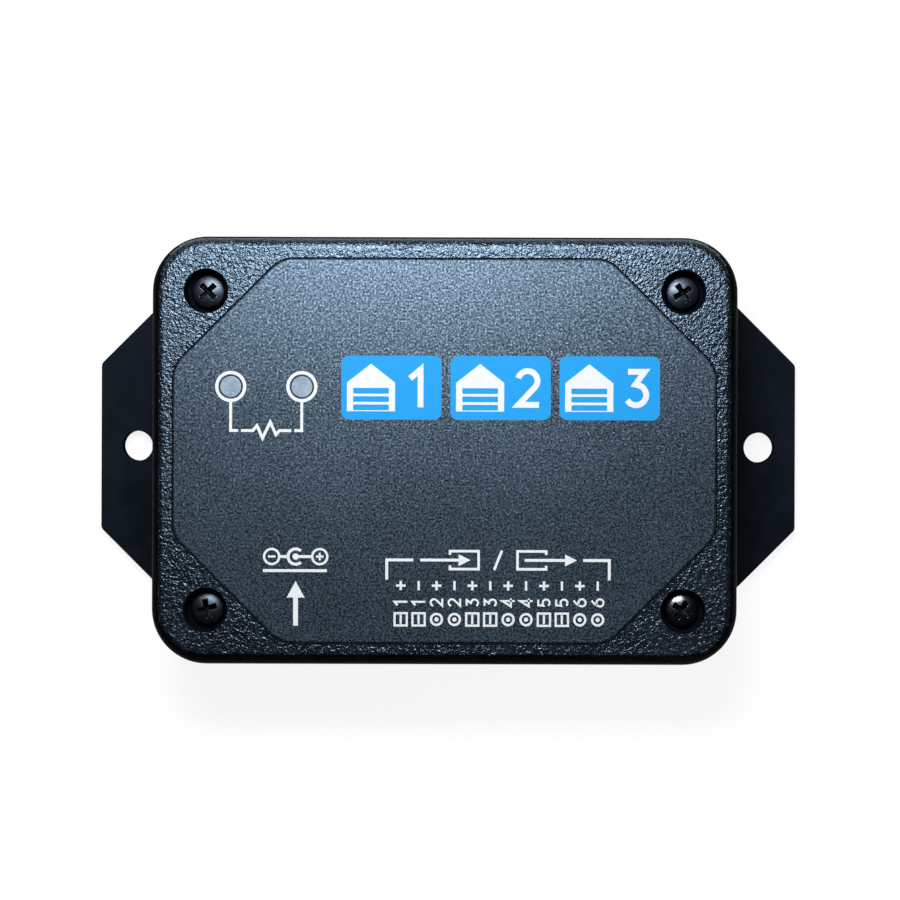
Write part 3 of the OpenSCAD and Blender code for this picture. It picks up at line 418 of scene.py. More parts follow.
FERRITE = plastic("pressed_ferrite", srgb(74, 74, 76), srgb(58, 58, 60), 0.62, 0.18, 0.03)
FUSE_GREEN = plastic("fuse_green", srgb(60, 132, 78), srgb(50, 116, 66), 0.45, 0.2, 0.015)
WHITE_PACKAGE = plastic("package_white", srgb(226, 226, 220), srgb(214, 214, 207), 0.48, 0.15, 0.012)
CERAMIC = plastic("tan_ceramic", srgb(190, 160, 122), srgb(172, 142, 106), 0.5, 0.12, 0.012)
BUTTON_CREAM = plastic("button_cream", srgb(222, 216, 198), srgb(210, 203, 184), 0.42, 0.2, 0.012)
PHOSPHOR = plastic("lamp_phosphor", srgb(232, 214, 92), srgb(222, 200, 78), 0.35, 0.1, 0.01)
SILK_WHITE = printed_ink("silkscreen_white", srgb(226, 228, 222), srgb(200, 204, 196))

NODE_FINISHES = {
    "base_tray": CASE_SIDE, "top_cover": CASE_SIDE, "front_label": LABEL_FILM,
    "light_pipe_left": WINDOW, "light_pipe_right": WINDOW, "circuit_board": BOARD_MASK,
    "board_screws": ZINC, "terminal_socket": SOCKET_GREEN, "terminal_pins": GOLD,
    "power_jack": JACK_BLACK, "jack_pin": TIN, "jack_contacts": TIN,
    "relay_1": RELAY_BLUE, "relay_2": RELAY_BLUE, "relay_3": RELAY_BLUE, "relay_legs": TIN,
    "radio_board": RADIO_MASK, "radio_shield": ZINC, "regulator": PACKAGE, "regulator_legs": TIN,
    "choke": FERRITE, "capacitor_cans": CAN, "capacitor_bases": PACKAGE, "input_fuse": FUSE_GREEN,
    "input_diode": PACKAGE, "optocouplers": WHITE_PACKAGE, "optocoupler_legs": TIN,
    "driver_transistors": PACKAGE, "transistor_legs": TIN, "flyback_diodes": PACKAGE,
    "chip_resistors": PACKAGE, "chip_capacitors": CERAMIC, "chip_end_caps": TIN,
    "status_lamps": WHITE_PACKAGE, "switch_base": PACKAGE, "switch_plate": ZINC,
    "reset_button": BUTTON_CREAM, "programming_header": PACKAGE, "programming_pins": GOLD,
}
for name, material in NODE_FINISHES.items():
    nodes[name].material_slots[0].material = material


# Outlines, in millimetres

SHARPEST_MITRE = 0.3


def arc(middle, radius, start, end, steps):
    """Points along an arc, with its angles in degrees."""
    angles = [math.radians(start + (end - start) * i / steps) for i in range(steps + 1)]
    return [(middle[0] + radius * math.cos(a), middle[1] + radius * math.sin(a)) for a in angles]


def circle(middle, radius, steps=64):
    return arc(middle, radius, 0, 360, steps)[:-1]


def corners(left, low, right, high):
    return [(left, low), (right, low), (right, high), (left, high)]


def rounded_box(middle, width, height, radius, steps=6):
    x, y = width / 2 - radius, height / 2 - radius
    points = []
    for i, (sx, sy) in enumerate(((1, 1), (-1, 1), (-1, -1), (1, -1))):
        points += arc((middle[0] + sx * x, middle[1] + sy * y), radius, 90 * i, 90 * i + 90, steps)
    return points


def stroke(points, width):
    """The outline of a line of one width with mitred corners."""
    ways = [(Vector(b) - Vector(a)).normalized() for a, b in zip(points, points[1:])]
    left, right = [], []
    for i, point in enumerate(points):
        before, after = ways[max(i - 1, 0)], ways[min(i, len(ways) - 1)]
        middle = (before + after).normalized()
        side = Vector((-middle.y, middle.x)) * (width / 2 / max(middle.dot(after), SHARPEST_MITRE))
        left.append(tuple(Vector(point) + side))
        right.append(tuple(Vector(point) - side))
    return left + right[::-1]


def turned(points, middle, degrees=0):
    """Points turned about the origin and moved to a middle."""
    c, s = math.cos(math.radians(degrees)), math.sin(math.radians(degrees))
    return [(middle[0] + c * x - s * y, middle[1] + s * x + c * y) for x, y in points]


NUMERAL_STROKE = 0.15
NUMERALS = {
    "1": [(-0.22, 0.24), (0.05, 0.47), (0.05, -0.5)],
    "2": arc((0, 0.19), 0.25, 165, -38, 16) + [(-0.24, -0.43), (0.29, -0.43)],
    "3": [(-0.23, 0.43), (0.2, 0.43), (-0.04, 0.1)] + arc((-0.02, -0.17), 0.26, 84, -150, 16),
    "4": [(0.13, -0.5), (0.13, 0.45), (-0.27, -0.2), (0.32, -0.2)],
    "5": [(0.25, 0.43), (-0.18, 0.43), (-0.22, 0.03)] + arc((-0.01, -0.16), 0.26, 118, -140, 16),
    "6": [(0.18, 0.46), (-0.06, 0.26)] + arc((0.01, -0.17), 0.27, 155, 155 + 332, 24),
}


# Meshes from points in millimetres

SUNK = 0.02
INK_FILM = 0.03


def film(surface, thickness=INK_FILM):
    """Lowest and highest level of a film that is sunk a little into its surface."""
    return surface - SUNK, surface + thickness


class Sheet:
    """Flat shapes of one finish between two levels, gathered into one piece."""

    def __init__(self, low=0.0, high=0.0):
        self.low, self.high = low, high
        self.points, self.faces = [], []

    def shape(self, *loops):
        """Adds an outline, with any further loops as holes in it."""
        rings = [[Vector((x, y, 0)) for x, y in loop] for loop in loops]
        flat = [point for loop in rings for point in loop]
        count, start = len(flat), len(self.points)
        for z in (self.low, self.high):
            self.points += [(p.x, p.y, z) for p in flat]
        for a, b, c in tessellate_polygon(rings):
            if (flat[b] - flat[a]).cross(flat[c] - flat[a]).z < 0:
                b, c = c, b
            self.faces.append((start + count + a, start + count + b, start + count + c))
            self.faces.append((start + a, start + c, start + b))
        first = 0
        for loop in rings:
            for i in range(len(loop)):
                a, b = start + first + i, start + first + (i + 1) % len(loop)
                self.faces.append((a, b, b + count, a + count))
            first += len(loop)

    def line(self, points, width):
        self.shape(stroke(points, width))

    def closed_line(self, points, width):
        sides = stroke([points[-1], *points, points[0]], width)
        count = len(points) + 2
        self.shape(sides[1:count - 1], sides[count + 1:-1])

    def ring(self, middle, outer, inner):
        self.shape(circle(middle, outer), circle(middle, inner))

    def sign(self, middle, width, bar, stub=None, degrees=0):
        """Adds a minus, as a bar of a half length, or a plus, with stubs between two distances."""
        self.line(turned([(-bar, 0), (bar, 0)], middle, degrees), width)
        for way in (-1, 1) if stub else ():
            self.line(turned([(0, way * reach) for reach in stub], middle, degrees), width)

    def numeral(self, digit, height, middle, degrees=0):
        """Adds a plain digit of a given height."""
        sized = [(x * height, y * height) for x, y in NUMERALS[digit]]
        self.line(turned(sized, middle, degrees), NUMERAL_STROKE * height)

    def piece(self, name, body, material, slot):
        return new_piece(name, self.points, self.faces, body, material)


def tube_faces(start, rings, around):
    """Faces between rings of points that follow each other from a first point on."""
    faces = []
    for first in range(start, start + (rings - 1) * around, around):
        for i in range(around):
            a, b = first + i, first + (i + 1) % around
            faces.append((a, b, b + around, a + around))
    return faces


def placed(name, data):
    """A new object in the scene."""
    thing = bpy.data.objects.new(name, data)
    bpy.context.scene.collection.objects.link(thing)
    return thing


def new_piece(name, points, faces, body, material, smooth_angle=None):
    """A mesh piece from points in millimetres, which rides on a body."""
    mesh = bpy.data.meshes.new(name)
    mesh.from_pydata([[c * MM for c in p] for p in points], [], faces)
    tidy = bmesh.new()
    tidy.from_mesh(mesh)
    bmesh.ops.recalc_face_normals(tidy, faces=tidy.faces)
    tidy.to_mesh(mesh)
    tidy.free()
    if smooth_angle is not None:
        mesh.polygons.foreach_set("use_smooth", [True] * len(mesh.polygons))
        mesh.set_sharp_from_angle(angle=math.radians(smooth_angle))
    mesh.materials.append(material)
    piece = placed(name, mesh)
    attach(piece, body)
    return piece


# Print on the label

WHITE_FILM = 0.045
LINE = 0.56
THIN_LINE = 0.5
MARK_LINE = 0.42
RING_OUTER = 3.05
RING_INNER = 2.42


def status_print(white):
    """A ring around each window, a stem from each, and a pulse between the stems."""
    stem, foot = 8.6, 1.45
    low = WINDOWS[0].y - stem
    for window, inward in zip(WINDOWS, (1, -1)):
        white.ring(window, RING_OUTER, RING_INNER)
        start = (window.x, window.y - RING_OUTER)
        white.line([start, (window.x, low), (window.x + inward * foot, low)], LINE)
    middle = (WINDOWS[0].x + WINDOWS[1].x) / 2
    pulse = [(-4.9, 0), (-2.6, 0), (-1.8, 1.0), (-0.7, -1.5), (0.8, 1.7), (1.9, -0.8), (2.6, 0), (4.9, 0)]
    white.line(turned(pulse, (middle, low)), LINE)


def power_print(white):
    """A polarity mark over a line, and an arrow towards the jack's inside."""
    x, y = JACK.x, -20.7
    line_y, tip, neck, foot = -23.45, -25.5, -28.7, -34.2
    for side, stub in ((-1, None), (1, (0.22, 0.75))):
        pole = (x + side * 4.7, y)
        white.ring(pole, 1.7, 1.25)
        white.sign(pole, 0.4, 0.75, stub)
    white.line([(x - 3, y), (x - 1.75, y)], LINE)
    white.line([(x + 0.6, y), (x + 3, y)], LINE)
    white.line(arc((x, y), 1.5, 48, 312, 24), LINE)
    white.shape(circle((x, y), 0.62, 24))
    white.line([(x - 6.4, line_y), (x + 6.1, line_y)], LINE)
    white.line([(x, foot), (x, neck)], 0.95)
    white.shape([(x, tip), (x - 1.75, neck), (x + 1.75, neck)])


def terminal_print(white):
    """A bracket with arrows in and out over the terminals, and a sign, number and mark for each."""
    left, right = TERMINAL_XS[0] - 2.75, TERMINAL_XS[-1] + 2.25
    top, low = -21.3, -25.15
    sign_y, number_y, mark_y = -26.3, -29.6, -32.9
    white.line([(left, low), (left, top), (left + 5.2, top)], LINE)
    white.line([(right, low), (right, top), (right - 5.1, top)], LINE)
    middle = (left + right) / 2
    for box, start, tip, mouth in ((-6.6, -15.2, -5.4, -1), (6.6, 5.2, 15.4, 1)):
        back, front = middle + box - mouth * 2.8, middle + box + mouth * 2.8
        sides = [(front, 1.05), (front, 1.75), (back, 1.75), (back, -1.75), (front, -1.75), (front, -1.05)]
        white.line([(x, top + y) for x, y in sides], THIN_LINE)
        neck = middle + tip - 2.3
        white.line([(middle + start, top), (neck, top)], LINE)
        white.shape([(middle + tip, top), (neck, top + 1.15), (neck, top - 1.15)])
    white.line([(middle - 0.75, top - 1.9), (middle + 0.75, top + 1.9)], THIN_LINE)
    for i, x in enumerate(TERMINAL_XS):
        channel, minus = divmod(i, 2)
        if channel % 2:
            white.ring((x, mark_y), 1.3, 0.85)
            white.shape(circle((x, mark_y), 0.42, 20))
        else:
            white.closed_line(corners(x - 1.2, mark_y - 1.2, x + 1.2, mark_y + 1.2), MARK_LINE)
            white.line([(x, mark_y - 0.9), (x, mark_y + 0.9)], MARK_LINE)
        white.numeral(str(channel + 1), 2.6, (x, number_y), 90)
        white.sign((x, sign_y), 0.45, 0.9, None if minus else (0.25, 0.95), 90)


def door_print(white, blue):
    """Tiles across the upper middle of the label, each with a sectional door and its number."""
    left, right, low, high = -20.2, 42.1, 6.1, 18.6
    gap, count = 1.7, len(RELAYS)
    width = (right - left - (count - 1) * gap) / count
    front = [(-4.7, -4.6), (4.7, -4.6), (4.7, 1.0), (0, 4.7), (-4.7, 1.0)]
    for i in range(count):
        x, y = left + width / 2 + i * (width + gap), (low + high) / 2
        door = x - 4
        blue.shape(rounded_box((x, y), width, high - low, 1.5))
        slats = [rounded_box((door, y - 3.85 + row * 1.62), 7.0, 1.12, 0.2)[::-1] for row in range(3)]
        white.shape(turned(front, (door, y)), *slats)
        white.numeral(str(i + 1), 7.6, (x + 5.3, y))


white_print = Sheet(*film(LABEL_TOP, WHITE_FILM))
blue_print = Sheet(*film(LABEL_TOP))
status_print(white_print)
power_print(white_print)
terminal_print(white_print)
door_print(white_print, blue_print)
white_print.piece("white_print", "cover", WHITE_INK, "label_film")
blue_print.piece("blue_print", "cover", BLUE_INK, "label_film")


# Case

WELD = 0.001
EASED = 0.12
CORNER = CASE_HIGH.x - SCREW_AXIS.x
FRONT_EDGE = 2.6
FLANGE_HOLE = (CASE_HIGH.x + BASE_HIGH.x) / 2
HOLE_REACH = 4
CASE_FINISHES = (CASE_FRONT, CASE_SIDE, CASE_SMOOTH, CASE_BORE_SHADE, CASE_RIM_SHADE)
FRONT, SIDE, SMOOTH, BORE_SHADE, RIM_SHADE = range(len(CASE_FINISHES))

# Least upward part of a normal for the front's finish on the rim, and its shift at the upper and lower edge
# Below it the rim takes the unreflecting copy as painted shade; the shift keeps more of the upper edge,
# which faces the lamps, in the front's finish than the lower edge.
UPRIGHT = 0.93
UPPER_SHIFT = -0.45
LOWER_SHIFT = 0.055


def shell_finish(centre, normal):
    """Which of the case's finishes a face has, from its middle and its normal."""
    x, y, z = abs(centre.x) / MM, abs(centre.y) / MM, centre.z / MM
    over = max(x - SCREW_AXIS.x, 0), max(y - SCREW_AXIS.y, 0)
    inward = CORNER - (math.hypot(*over) if min(over) > 0 else max(over))
    on_flange = x > CASE_HIGH.x + 0.02
    on_rim = inward < FRONT_EDGE and z > CASE_HIGH.z - FRONT_EDGE and normal.z > 0.12
    on_front = inward >= FRONT_EDGE and z > HEAD_SEAT - 0.2 and normal.z > -0.1
    on_back = z < 0.3 and normal.z < -0.9
    if on_flange:
        if abs(normal.z) >= 0.5:
            return SMOOTH
        # Painted shade: the flange holes' walls take the unreflecting copy.
        return BORE_SHADE if math.hypot(x - FLANGE_HOLE, y) < HOLE_REACH else SIDE
    if on_rim:
        # Painted shade: rim faces under the threshold take the unreflecting copy, more so on the lower
        # edge.
        rise = normal.y / max(math.hypot(normal.x, normal.y), 0.001)
        upright = UPRIGHT + (UPPER_SHIFT if rise > 0 else LOWER_SHIFT) * rise ** 2
        return FRONT if normal.z > upright else RIM_SHADE
    if on_front:
        if normal.z > 0.99 and z > LABEL_LOW - 0.1:
            return FRONT if z > CASE_HIGH.z - 0.01 else SIDE
        # Painted shade: the counterbores and the label recess's walls take the unreflecting copy.
        return BORE_SHADE
    return SIDE if on_back or inward < WALL / 2 else SMOOTH


def welded(node):
    """A copy of a node's mesh with its doubled points joined."""
    tidy = bmesh.new()
    tidy.from_mesh(nodes[node].data)
    bmesh.ops.remove_doubles(tidy, verts=tidy.verts, dist=WELD * MM)
    return tidy


def flatten_faces(thing, keep_sharp):
    """Shades flat faces evenly up to their eased edges."""
    flat = thing.modifiers.new("flat_faces", "WEIGHTED_NORMAL")
    flat.mode = "FACE_AREA"
    flat.weight = 100
    flat.keep_sharp = keep_sharp


def eased_shell(name, node, body):
    """A copy of a half of the case with its sharp edges eased, grained outside and smooth elsewhere."""
    tidy = welded(node)
    bmesh.ops.dissolve_limit(tidy, angle_limit=math.radians(0.3), verts=tidy.verts, edges=tidy.edges)
    sharp = [edge for edge in tidy.edges if edge.is_manifold and edge.calc_face_angle() > math.radians(40)]
    bmesh.ops.bevel(tidy, geom=sharp, offset=EASED * MM, offset_type="OFFSET", segments=2, profile=0.5,
                    affect="EDGES")
    floor = min(vert.co.z for vert in nodes[node].data.vertices)
    for vert in tidy.verts:
        vert.co.z = max(vert.co.z, floor)
    tidy.normal_update()
    for face in tidy.faces:
        # Finishes by place, among them the unreflecting copies that paint shade on the rim and in bores.
        face.material_index = shell_finish(face.calc_center_median(), face.normal)
        face.smooth = True
    mesh = bpy.data.meshes.new(name)
    tidy.to_mesh(mesh)
    tidy.free()
    if "custom_normal" in mesh.attributes:
        mesh.attributes.remove(mesh.attributes["custom_normal"])
    mesh.set_sharp_from_angle(angle=math.radians(35))
    for material in CASE_FINISHES:
        mesh.materials.append(material)
    piece = placed(name, mesh)
    flatten_faces(piece, keep_sharp=True)
    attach(piece, body)
    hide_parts(node)


eased_shell("cover_shell", "top_cover", "cover")
eased_shell("base_shell", "base_tray", "base")


# Cover screws, with heights from the seat of the head

HEAD_RADIUS = 3.3
RECESS_TURNS = {"upper_left": 45, "upper_right": 32, "lower_left": 16, "lower_right": 58}
RECESS_REACH = 1.85
RECESS_DEPTH = 1.95
THREAD_CORE = 1.15
THREAD_CREST = 1.5
THREAD_PITCH = 1.27
THREAD_START = -3.2
THREAD_END = -15.4
TIP_RADIUS = 0.2
TIP = -16.4
AROUND = 96
DIRECTIONS = circle((0, 0), 1, AROUND)


def recess_depth(x, y):
    """Depth of the cross recess under a point of the head."""
    depth = 0.0
    for along, across in ((abs(x), abs(y)), (abs(y), abs(x))):
        half_width = 0.4 + 0.06 * along
        outside = max(across - half_width, along - RECESS_REACH)
        edge = min(1.0, max(0.0, (0.07 - outside) / 0.16))
        depth = max(depth, edge * edge * (3 - 2 * edge) * (RECESS_DEPTH - 0.5 * along))
    return depth


def head_profile():
    """Radius and height of the head's outline from near its middle out to its underside."""
    crown, shoulder, bend = 6.6, 2.72, 0.58
    crown_steps, bend_steps = 48, 8
    outline = []
    for step in range(1, crown_steps + 1):
        radius = shoulder * step / crown_steps
        outline.append((radius, HEAD_HEIGHT - crown + math.sqrt(crown ** 2 - radius ** 2)))
    lean = math.asin(shoulder / crown)
    middle = (shoulder - bend * math.sin(lean), outline[-1][1] - bend * math.cos(lean))
    for step in range(1, bend_steps + 1):
        angle = lean + (math.pi / 2 - lean) * step / bend_steps
        outline.append((middle[0] + bend * math.sin(angle), middle[1] + bend * math.cos(angle)))
    widest = outline[-1][0]
    outline = [(radius * HEAD_RADIUS / widest, z) for radius, z in outline]
    return outline + [(HEAD_RADIUS, 0.14), (HEAD_RADIUS - 0.04, 0.04), (HEAD_RADIUS - 0.14, 0.0)]


def screw_rows():
    """Rings of points from the top of the head to the tip of the thread."""
    rows = []
    for radius, z in head_profile():
        ring = [(radius * c, radius * s) for c, s in DIRECTIONS]
        rows.append([(x, y, z - recess_depth(x, y)) for x, y in ring])
    for radius, z in ((1.3, 0.0), (THREAD_CORE, -0.15)):
        rows.append([(radius * c, radius * s, z) for c, s in DIRECTIONS])
    steps = 118
    for step in range(steps + 1):
        z = THREAD_START + (THREAD_END - THREAD_START) * step / steps
        fade = max(0.0, min(1.0, (THREAD_START - z) / 1.2, (z - THREAD_END) / 1.6))
        row = []
        for i, (c, s) in enumerate(DIRECTIONS):
            turn = (z / THREAD_PITCH - i / AROUND) % 1.0
            ridge = max(0.0, 1.0 - abs(turn - 0.5) / 0.34)
            radius = THREAD_CORE + (THREAD_CREST - THREAD_CORE) * ridge * fade
            row.append((radius * c, radius * s, z))
        rows.append(row)
    rows.append([(TIP_RADIUS * c, TIP_RADIUS * s, TIP) for c, s in DIRECTIONS])
    return rows


def cover_screw(corner, degrees):
    """A cross-head screw, turned about its axis, with painted shade in the recess: a darker copy of its
    steel.
    """
    rows = screw_rows()
    top = (0, 0, HEAD_HEIGHT - recess_depth(0, 0))
    local = [top, *(point for row in rows for point in row), (0, 0, TIP - 0.03)]
    spots = turned([point[:2] for point in local], node_middle("cover_screw_" + corner), degrees)
    points = [(*spot, HEAD_SEAT + point[2]) for spot, point in zip(spots, local)]
    faces = tube_faces(1, len(rows), AROUND)
    last = 1 + (len(rows) - 1) * AROUND
    for i in range(AROUND):
        after = (i + 1) % AROUND
        faces.append((0, 1 + i, 1 + after))
        faces.append((last + i, len(points) - 1, last + after))
    # The lower-right screw takes the brighter glossy copy: painted highlight.
    steel = GLOSSY_LIT_STEEL if corner == "lower_right" else BLACK_STEEL
    piece = new_piece("screw_" + corner, points, faces, "screw_" + corner, steel, 60)
    # Painted shade: the recess's faces take the darker copy of the steel.
    piece.data.materials.append(RECESS_SHADE_STEEL)
    for face in piece.data.polygons:
        spots = [local[i] for i in face.vertices]
        if min(recess_depth(x, y) for x, y, z in spots) > 0.2 and min(z for x, y, z in spots) > 0.2:
            face.material_index = 1
    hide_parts("cover_screw_" + corner)


for corner, degrees in RECESS_TURNS.items():
    cover_screw(corner, degrees)


# Circuit board

COPPER_FILM = 0.04
PAD_FILM = 0.06
SILK_FILM = 0.05
SILK_LINE = 0.2
RELAY_LINE = 0.32
SIGNAL = 0.35
VIA = (0.36, 0.16)
WIDE_VIA = (0.45, 0.2)
INPUT_PINS = (4, 5, 6, 7, 9, 10)
EASED_NODES = {
    "terminal_socket": 0.2, "power_jack": 0.25, "optocouplers": 0.15, "regulator": 0.12, "input_fuse": 0.15,
    "input_diode": 0.15, "flyback_diodes": 0.15, "driver_transistors": 0.08, "switch_base": 0.12,
    "switch_plate": 0.06, "programming_header": 0.12, "reset_button": 0.2, "status_lamps": 0.1,
    "chip_end_caps": 0.05, "chip_resistors": 0.03, "chip_capacitors": 0.04,
}
END_PADS = {
    "input_fuse": (1.7, 2.6), "input_diode": (1.7, 2.0), "status_lamps": (1.7, 2.0), "choke": (1.7, 5.0),
    "capacitor_bases": (1.7, 2.0), "flyback_diodes": (1.4, 1.8),
}
SILK_BOXES = {
    **dict.fromkeys(RELAYS, 0.5), "radio_board": 0.35, "switch_base": 0.5, "programming_header": 0.4,
}


def islands(name):
    """The lowest and highest corner of each separate solid of a node, in millimetres."""
    tidy = welded(name)
    tidy.verts.index_update()
    seen = [False] * len(tidy.verts)
    boxes = []
    for first in tidy.verts:
        if seen[first.index]:
            continue
        seen[first.index] = True
        waiting, spots = [first], []
        while waiting:
            vert = waiting.pop()
            spots.append(vert.co / MM)
            for edge in vert.link_edges:
                other = edge.other_vert(vert)
                if not seen[other.index]:
                    seen[other.index] = True
                    waiting.append(other)
        boxes.append(tuple(Vector([pick(p[i] for p in spots) for i in range(3)]) for pick in (min, max)))
    tidy.free()
    return boxes


def ease_node(name, width):
    """Rounds a node's sharp edges with modifiers, which leave its mesh as it is."""
    node = nodes[name]
    weld = node.modifiers.new("weld", "WELD")
    weld.merge_threshold = WELD * MM
    edges = node.modifiers.new("eased_edges", "BEVEL")
    edges.width = width * MM
    edges.segments = 2
    edges.limit_method = "ANGLE"
    edges.angle_limit = math.radians(50)
    flatten_faces(node, keep_sharp=False)


def copper_traces(copper, pads):
    """Traces through the power supply, and from the radio, lamps and header, with through-contacts."""
    radio = node_box("radio_board")[1]
    radio_end = radio.y + 0.3
    supply = (
        ([(-26, -31), (-20.5, -31)], 2.2),
        ([(-16.6, -31), (-14.6, -31), (-13.4, -29.8), (-13.4, -26.2), (-14.6, -25), (-16.6, -25)], 1.6),
        ([(-20.4, -25), (-22.6, -22.8), (-22.6, -16), (-20.6, -14), (-17.2, -14)], 1.6),
        ([(-11, -14), (-7.9, -14)], 2.0),
        ([(-4, -10.1), (-4, -6), (-10.2, 0.2), (-10.2, 6), (-12.6, 8.4)], 1.4),
        ([(-10.2, 9.6), (-10.2, 15.6), (-12.6, 18)], 1.4),
        ([(46.6, 15), (46.6, -16.4), (39.8, -23.2), (34.6, -23.2), (30.05, -27.75), (30.05, -29.6)], 1.6),
    )
    for points, width in supply:
        copper.line(points, width)
    for x in (9.7, 28.4):
        copper.line([(x, 21.5), (x, 3)], 1.8)
        for row in range(3):
            pads.ring((x, 2.5 - row * 1.1), *WIDE_VIA)
    for i in range(6):
        y, end = -7.9 + i, -12.6 - 0.9 * (i % 2)
        copper.line([(radio.x + 0.3, y - 1.5), (-23.4, y - 1.5), (-21.9, y), (end, y)], SIGNAL)
        pads.ring((end + 0.2, y), *VIA)
    for window, ways in zip(WINDOWS, ((-46, -38), (-32, -23.6))):
        for side, x in zip((-1, 1), ways):
            start = window.x + side * 2.3
            copper.line([(start, window.y), (x, window.y - abs(x - start)), (x, radio_end)], SIGNAL)
    for x in (-36.35, -33.81):
        copper.line([(x, 30.8), (x, radio_end)], SIGNAL)
    for i, x in enumerate((-31.27, -28.73, -26.19)):
        copper.line([(x, 30.8), (x, 27.5 - i), (x + 1.2, 26.3 - i), (x + 1.2, 21)], SIGNAL)
        pads.ring((x + 1.2, 20.8), *VIA)
    copper.line([(-17.8, 30.5), (-20, 28.3), (-20, 24.5)], SIGNAL)
    pads.ring((-20, 24.2), *VIA)


def leg_traces(copper, pads):
    """Traces from the legs of the inputs and drivers, to a through-contact or a terminal."""
    legs = sorted(islands("optocoupler_legs"), key=lambda leg: leg[0].x)
    row = node_middle("optocouplers").y
    for low, high in (leg for leg in legs if leg[0].y > row):
        x = (low.x + high.x) / 2
        copper.line([(x, high.y + 0.2), (x, -10.6)], SIGNAL)
        pads.ring((x, -10.4), *VIA)
    for pin, (low, high) in zip(INPUT_PINS, (leg for leg in legs if leg[0].y < row)):
        x, end, bend = (low.x + high.x) / 2, TERMINAL_XS[pin], -25.4
        copper.line([(x, low.y - 0.2), (x, bend), (end, bend - abs(end - x)), (end, -29.6)], SIGNAL)
    for low, high in islands("transistor_legs"):
        x = (low.x + high.x) / 2
        way, end = (1, 3.7) if (low.y + high.y) / 2 > -1 else (-1, -4.4)
        start = high.y + 0.2 if way > 0 else low.y - 0.2
        copper.line([(x, start), (x, end)], SIGNAL)
        pads.ring((x, end + way * 0.2), *VIA)


def solder_pads(pads):
    """Tinned pads under the small parts' ends and legs, and round targets for the placing machine."""
    for name in ("chip_end_caps", "transistor_legs", "optocoupler_legs", "regulator_legs"):
        for low, high in islands(name):
            pads.shape(rounded_box((low + high) / 2, high.x - low.x + 0.4, high.y - low.y + 0.4, 0.12, 2))
    for name, (length, width) in END_PADS.items():
        for low, high in islands(name):
            for x in (low.x, high.x):
                pads.shape(rounded_box((x, (low.y + high.y) / 2), length, width, 0.2, 2))
    for spot in ((-36.5, 36), (36.5, 36), (37, -34.5)):
        pads.shape(circle(spot, 0.5, 32))


def silkscreen(silk):
    """White outlines on the board, with plain numbers for the relays and the terminal pairs."""
    for name, reach in SILK_BOXES.items():
        low, high = node_box(name)
        size = high - low
        box = rounded_box((low + high) / 2, size.x + 2 * reach, size.y + 2 * reach, 0.4, 3)
        silk.closed_line(box, SILK_LINE)
    for name in ("choke", "capacitor_bases", "input_fuse", "input_diode", "optocouplers", "flyback_diodes"):
        apart = 0.45 if name != "optocouplers" else -0.3
        for low, high in islands(name):
            for y in (low.y - apart, high.y + apart):
                silk.line([(low.x, y), (high.x, y)], SILK_LINE)
    for i, name in enumerate(RELAYS):
        silk.numeral(str(i + 1), 2.2, (node_middle(name).x, node_box(name)[1].y + 2.2))
    for i in range(TERMINAL_COUNT // 2):
        silk.numeral(str(i + 1), 1.7, ((TERMINAL_XS[2 * i] + TERMINAL_XS[2 * i + 1]) / 2, -28.7))
    for low, high in islands("capacitor_bases"):
        silk.sign((high.x + 2.1, high.y - 1.2), SILK_LINE, 0.6, (0.1, 0.6))
    low = node_box("regulator")[0]
    silk.shape(circle((low.x - 0.9, low.y - 0.6), 0.3, 20))


def relay_print():
    """A number and the sign of a coil and its contact on each relay."""
    white = Sheet(*film(node_box("relay_1")[1].z))
    for i, name in enumerate(RELAYS):
        x, y = node_middle(name).xy
        white.numeral(str(i + 1), 4.4, (x, y + 4.6))
        white.closed_line(corners(x - 2.4, y - 6, x + 2.4, y - 3.4), RELAY_LINE)
        for way in (-1, 1):
            white.line([(x + way * 2.56, y - 4.7), (x + way * 5.2, y - 4.7)], RELAY_LINE)
            white.line([(x + way * 3.3, y - 1), (x + way * 5.2, y - 1)], RELAY_LINE)
            white.ring((x + way * 2.8, y - 1), 0.5, 0.22)
        white.line([(x - 2.3, y - 0.7), (x + 2.5, y + 0.9)], RELAY_LINE)
        white.line([(x - 0.9, y - 5.8), (x + 0.9, y - 3.6)], RELAY_LINE)
    white.piece("relay_print", "base", SILK_WHITE, "relay_plastic")


def package_marks():
    """Polarity bands, dots for first pins and the dark segment on each can."""
    white, dark = Sheet(), Sheet()
    for name in ("input_diode", "flyback_diodes"):
        for low, high in islands(name):
            white.low, white.high = film(high.z)
            middle = (low.x + 0.75, (low.y + high.y) / 2)
            white.shape(rounded_box(middle, 0.5, high.y - low.y - 0.5, 0.05, 1))
    low, high = node_box("regulator")
    white.low, white.high = film(high.z)
    white.shape(circle((low.x + 0.7, low.y + 0.7), 0.28, 24))
    white.piece("package_marks_white", "base", SILK_WHITE, "package")
    for low, high in islands("capacitor_cans"):
        dark.low, dark.high = film(high.z)
        dark.shape(arc((low + high) / 2, 3.3, 125, 235, 24))
    for low, high in islands("optocouplers"):
        dark.low, dark.high = film(high.z)
        dark.shape(circle((low.x + 0.8, low.y + 0.8), 0.35, 24))
    dark.piece("package_marks_dark", "base", PACKAGE, "can")


def lamp_lenses():
    """Phosphor that fills the cup of each lamp."""
    top = node_box("status_lamps")[1].z
    lens = Sheet(top - 0.38, top - 0.06)
    for window in WINDOWS:
        lens.shape(circle(window, 1.06, 48))
    lens.piece("lamp_lenses", "base", PHOSPHOR, "white_package")


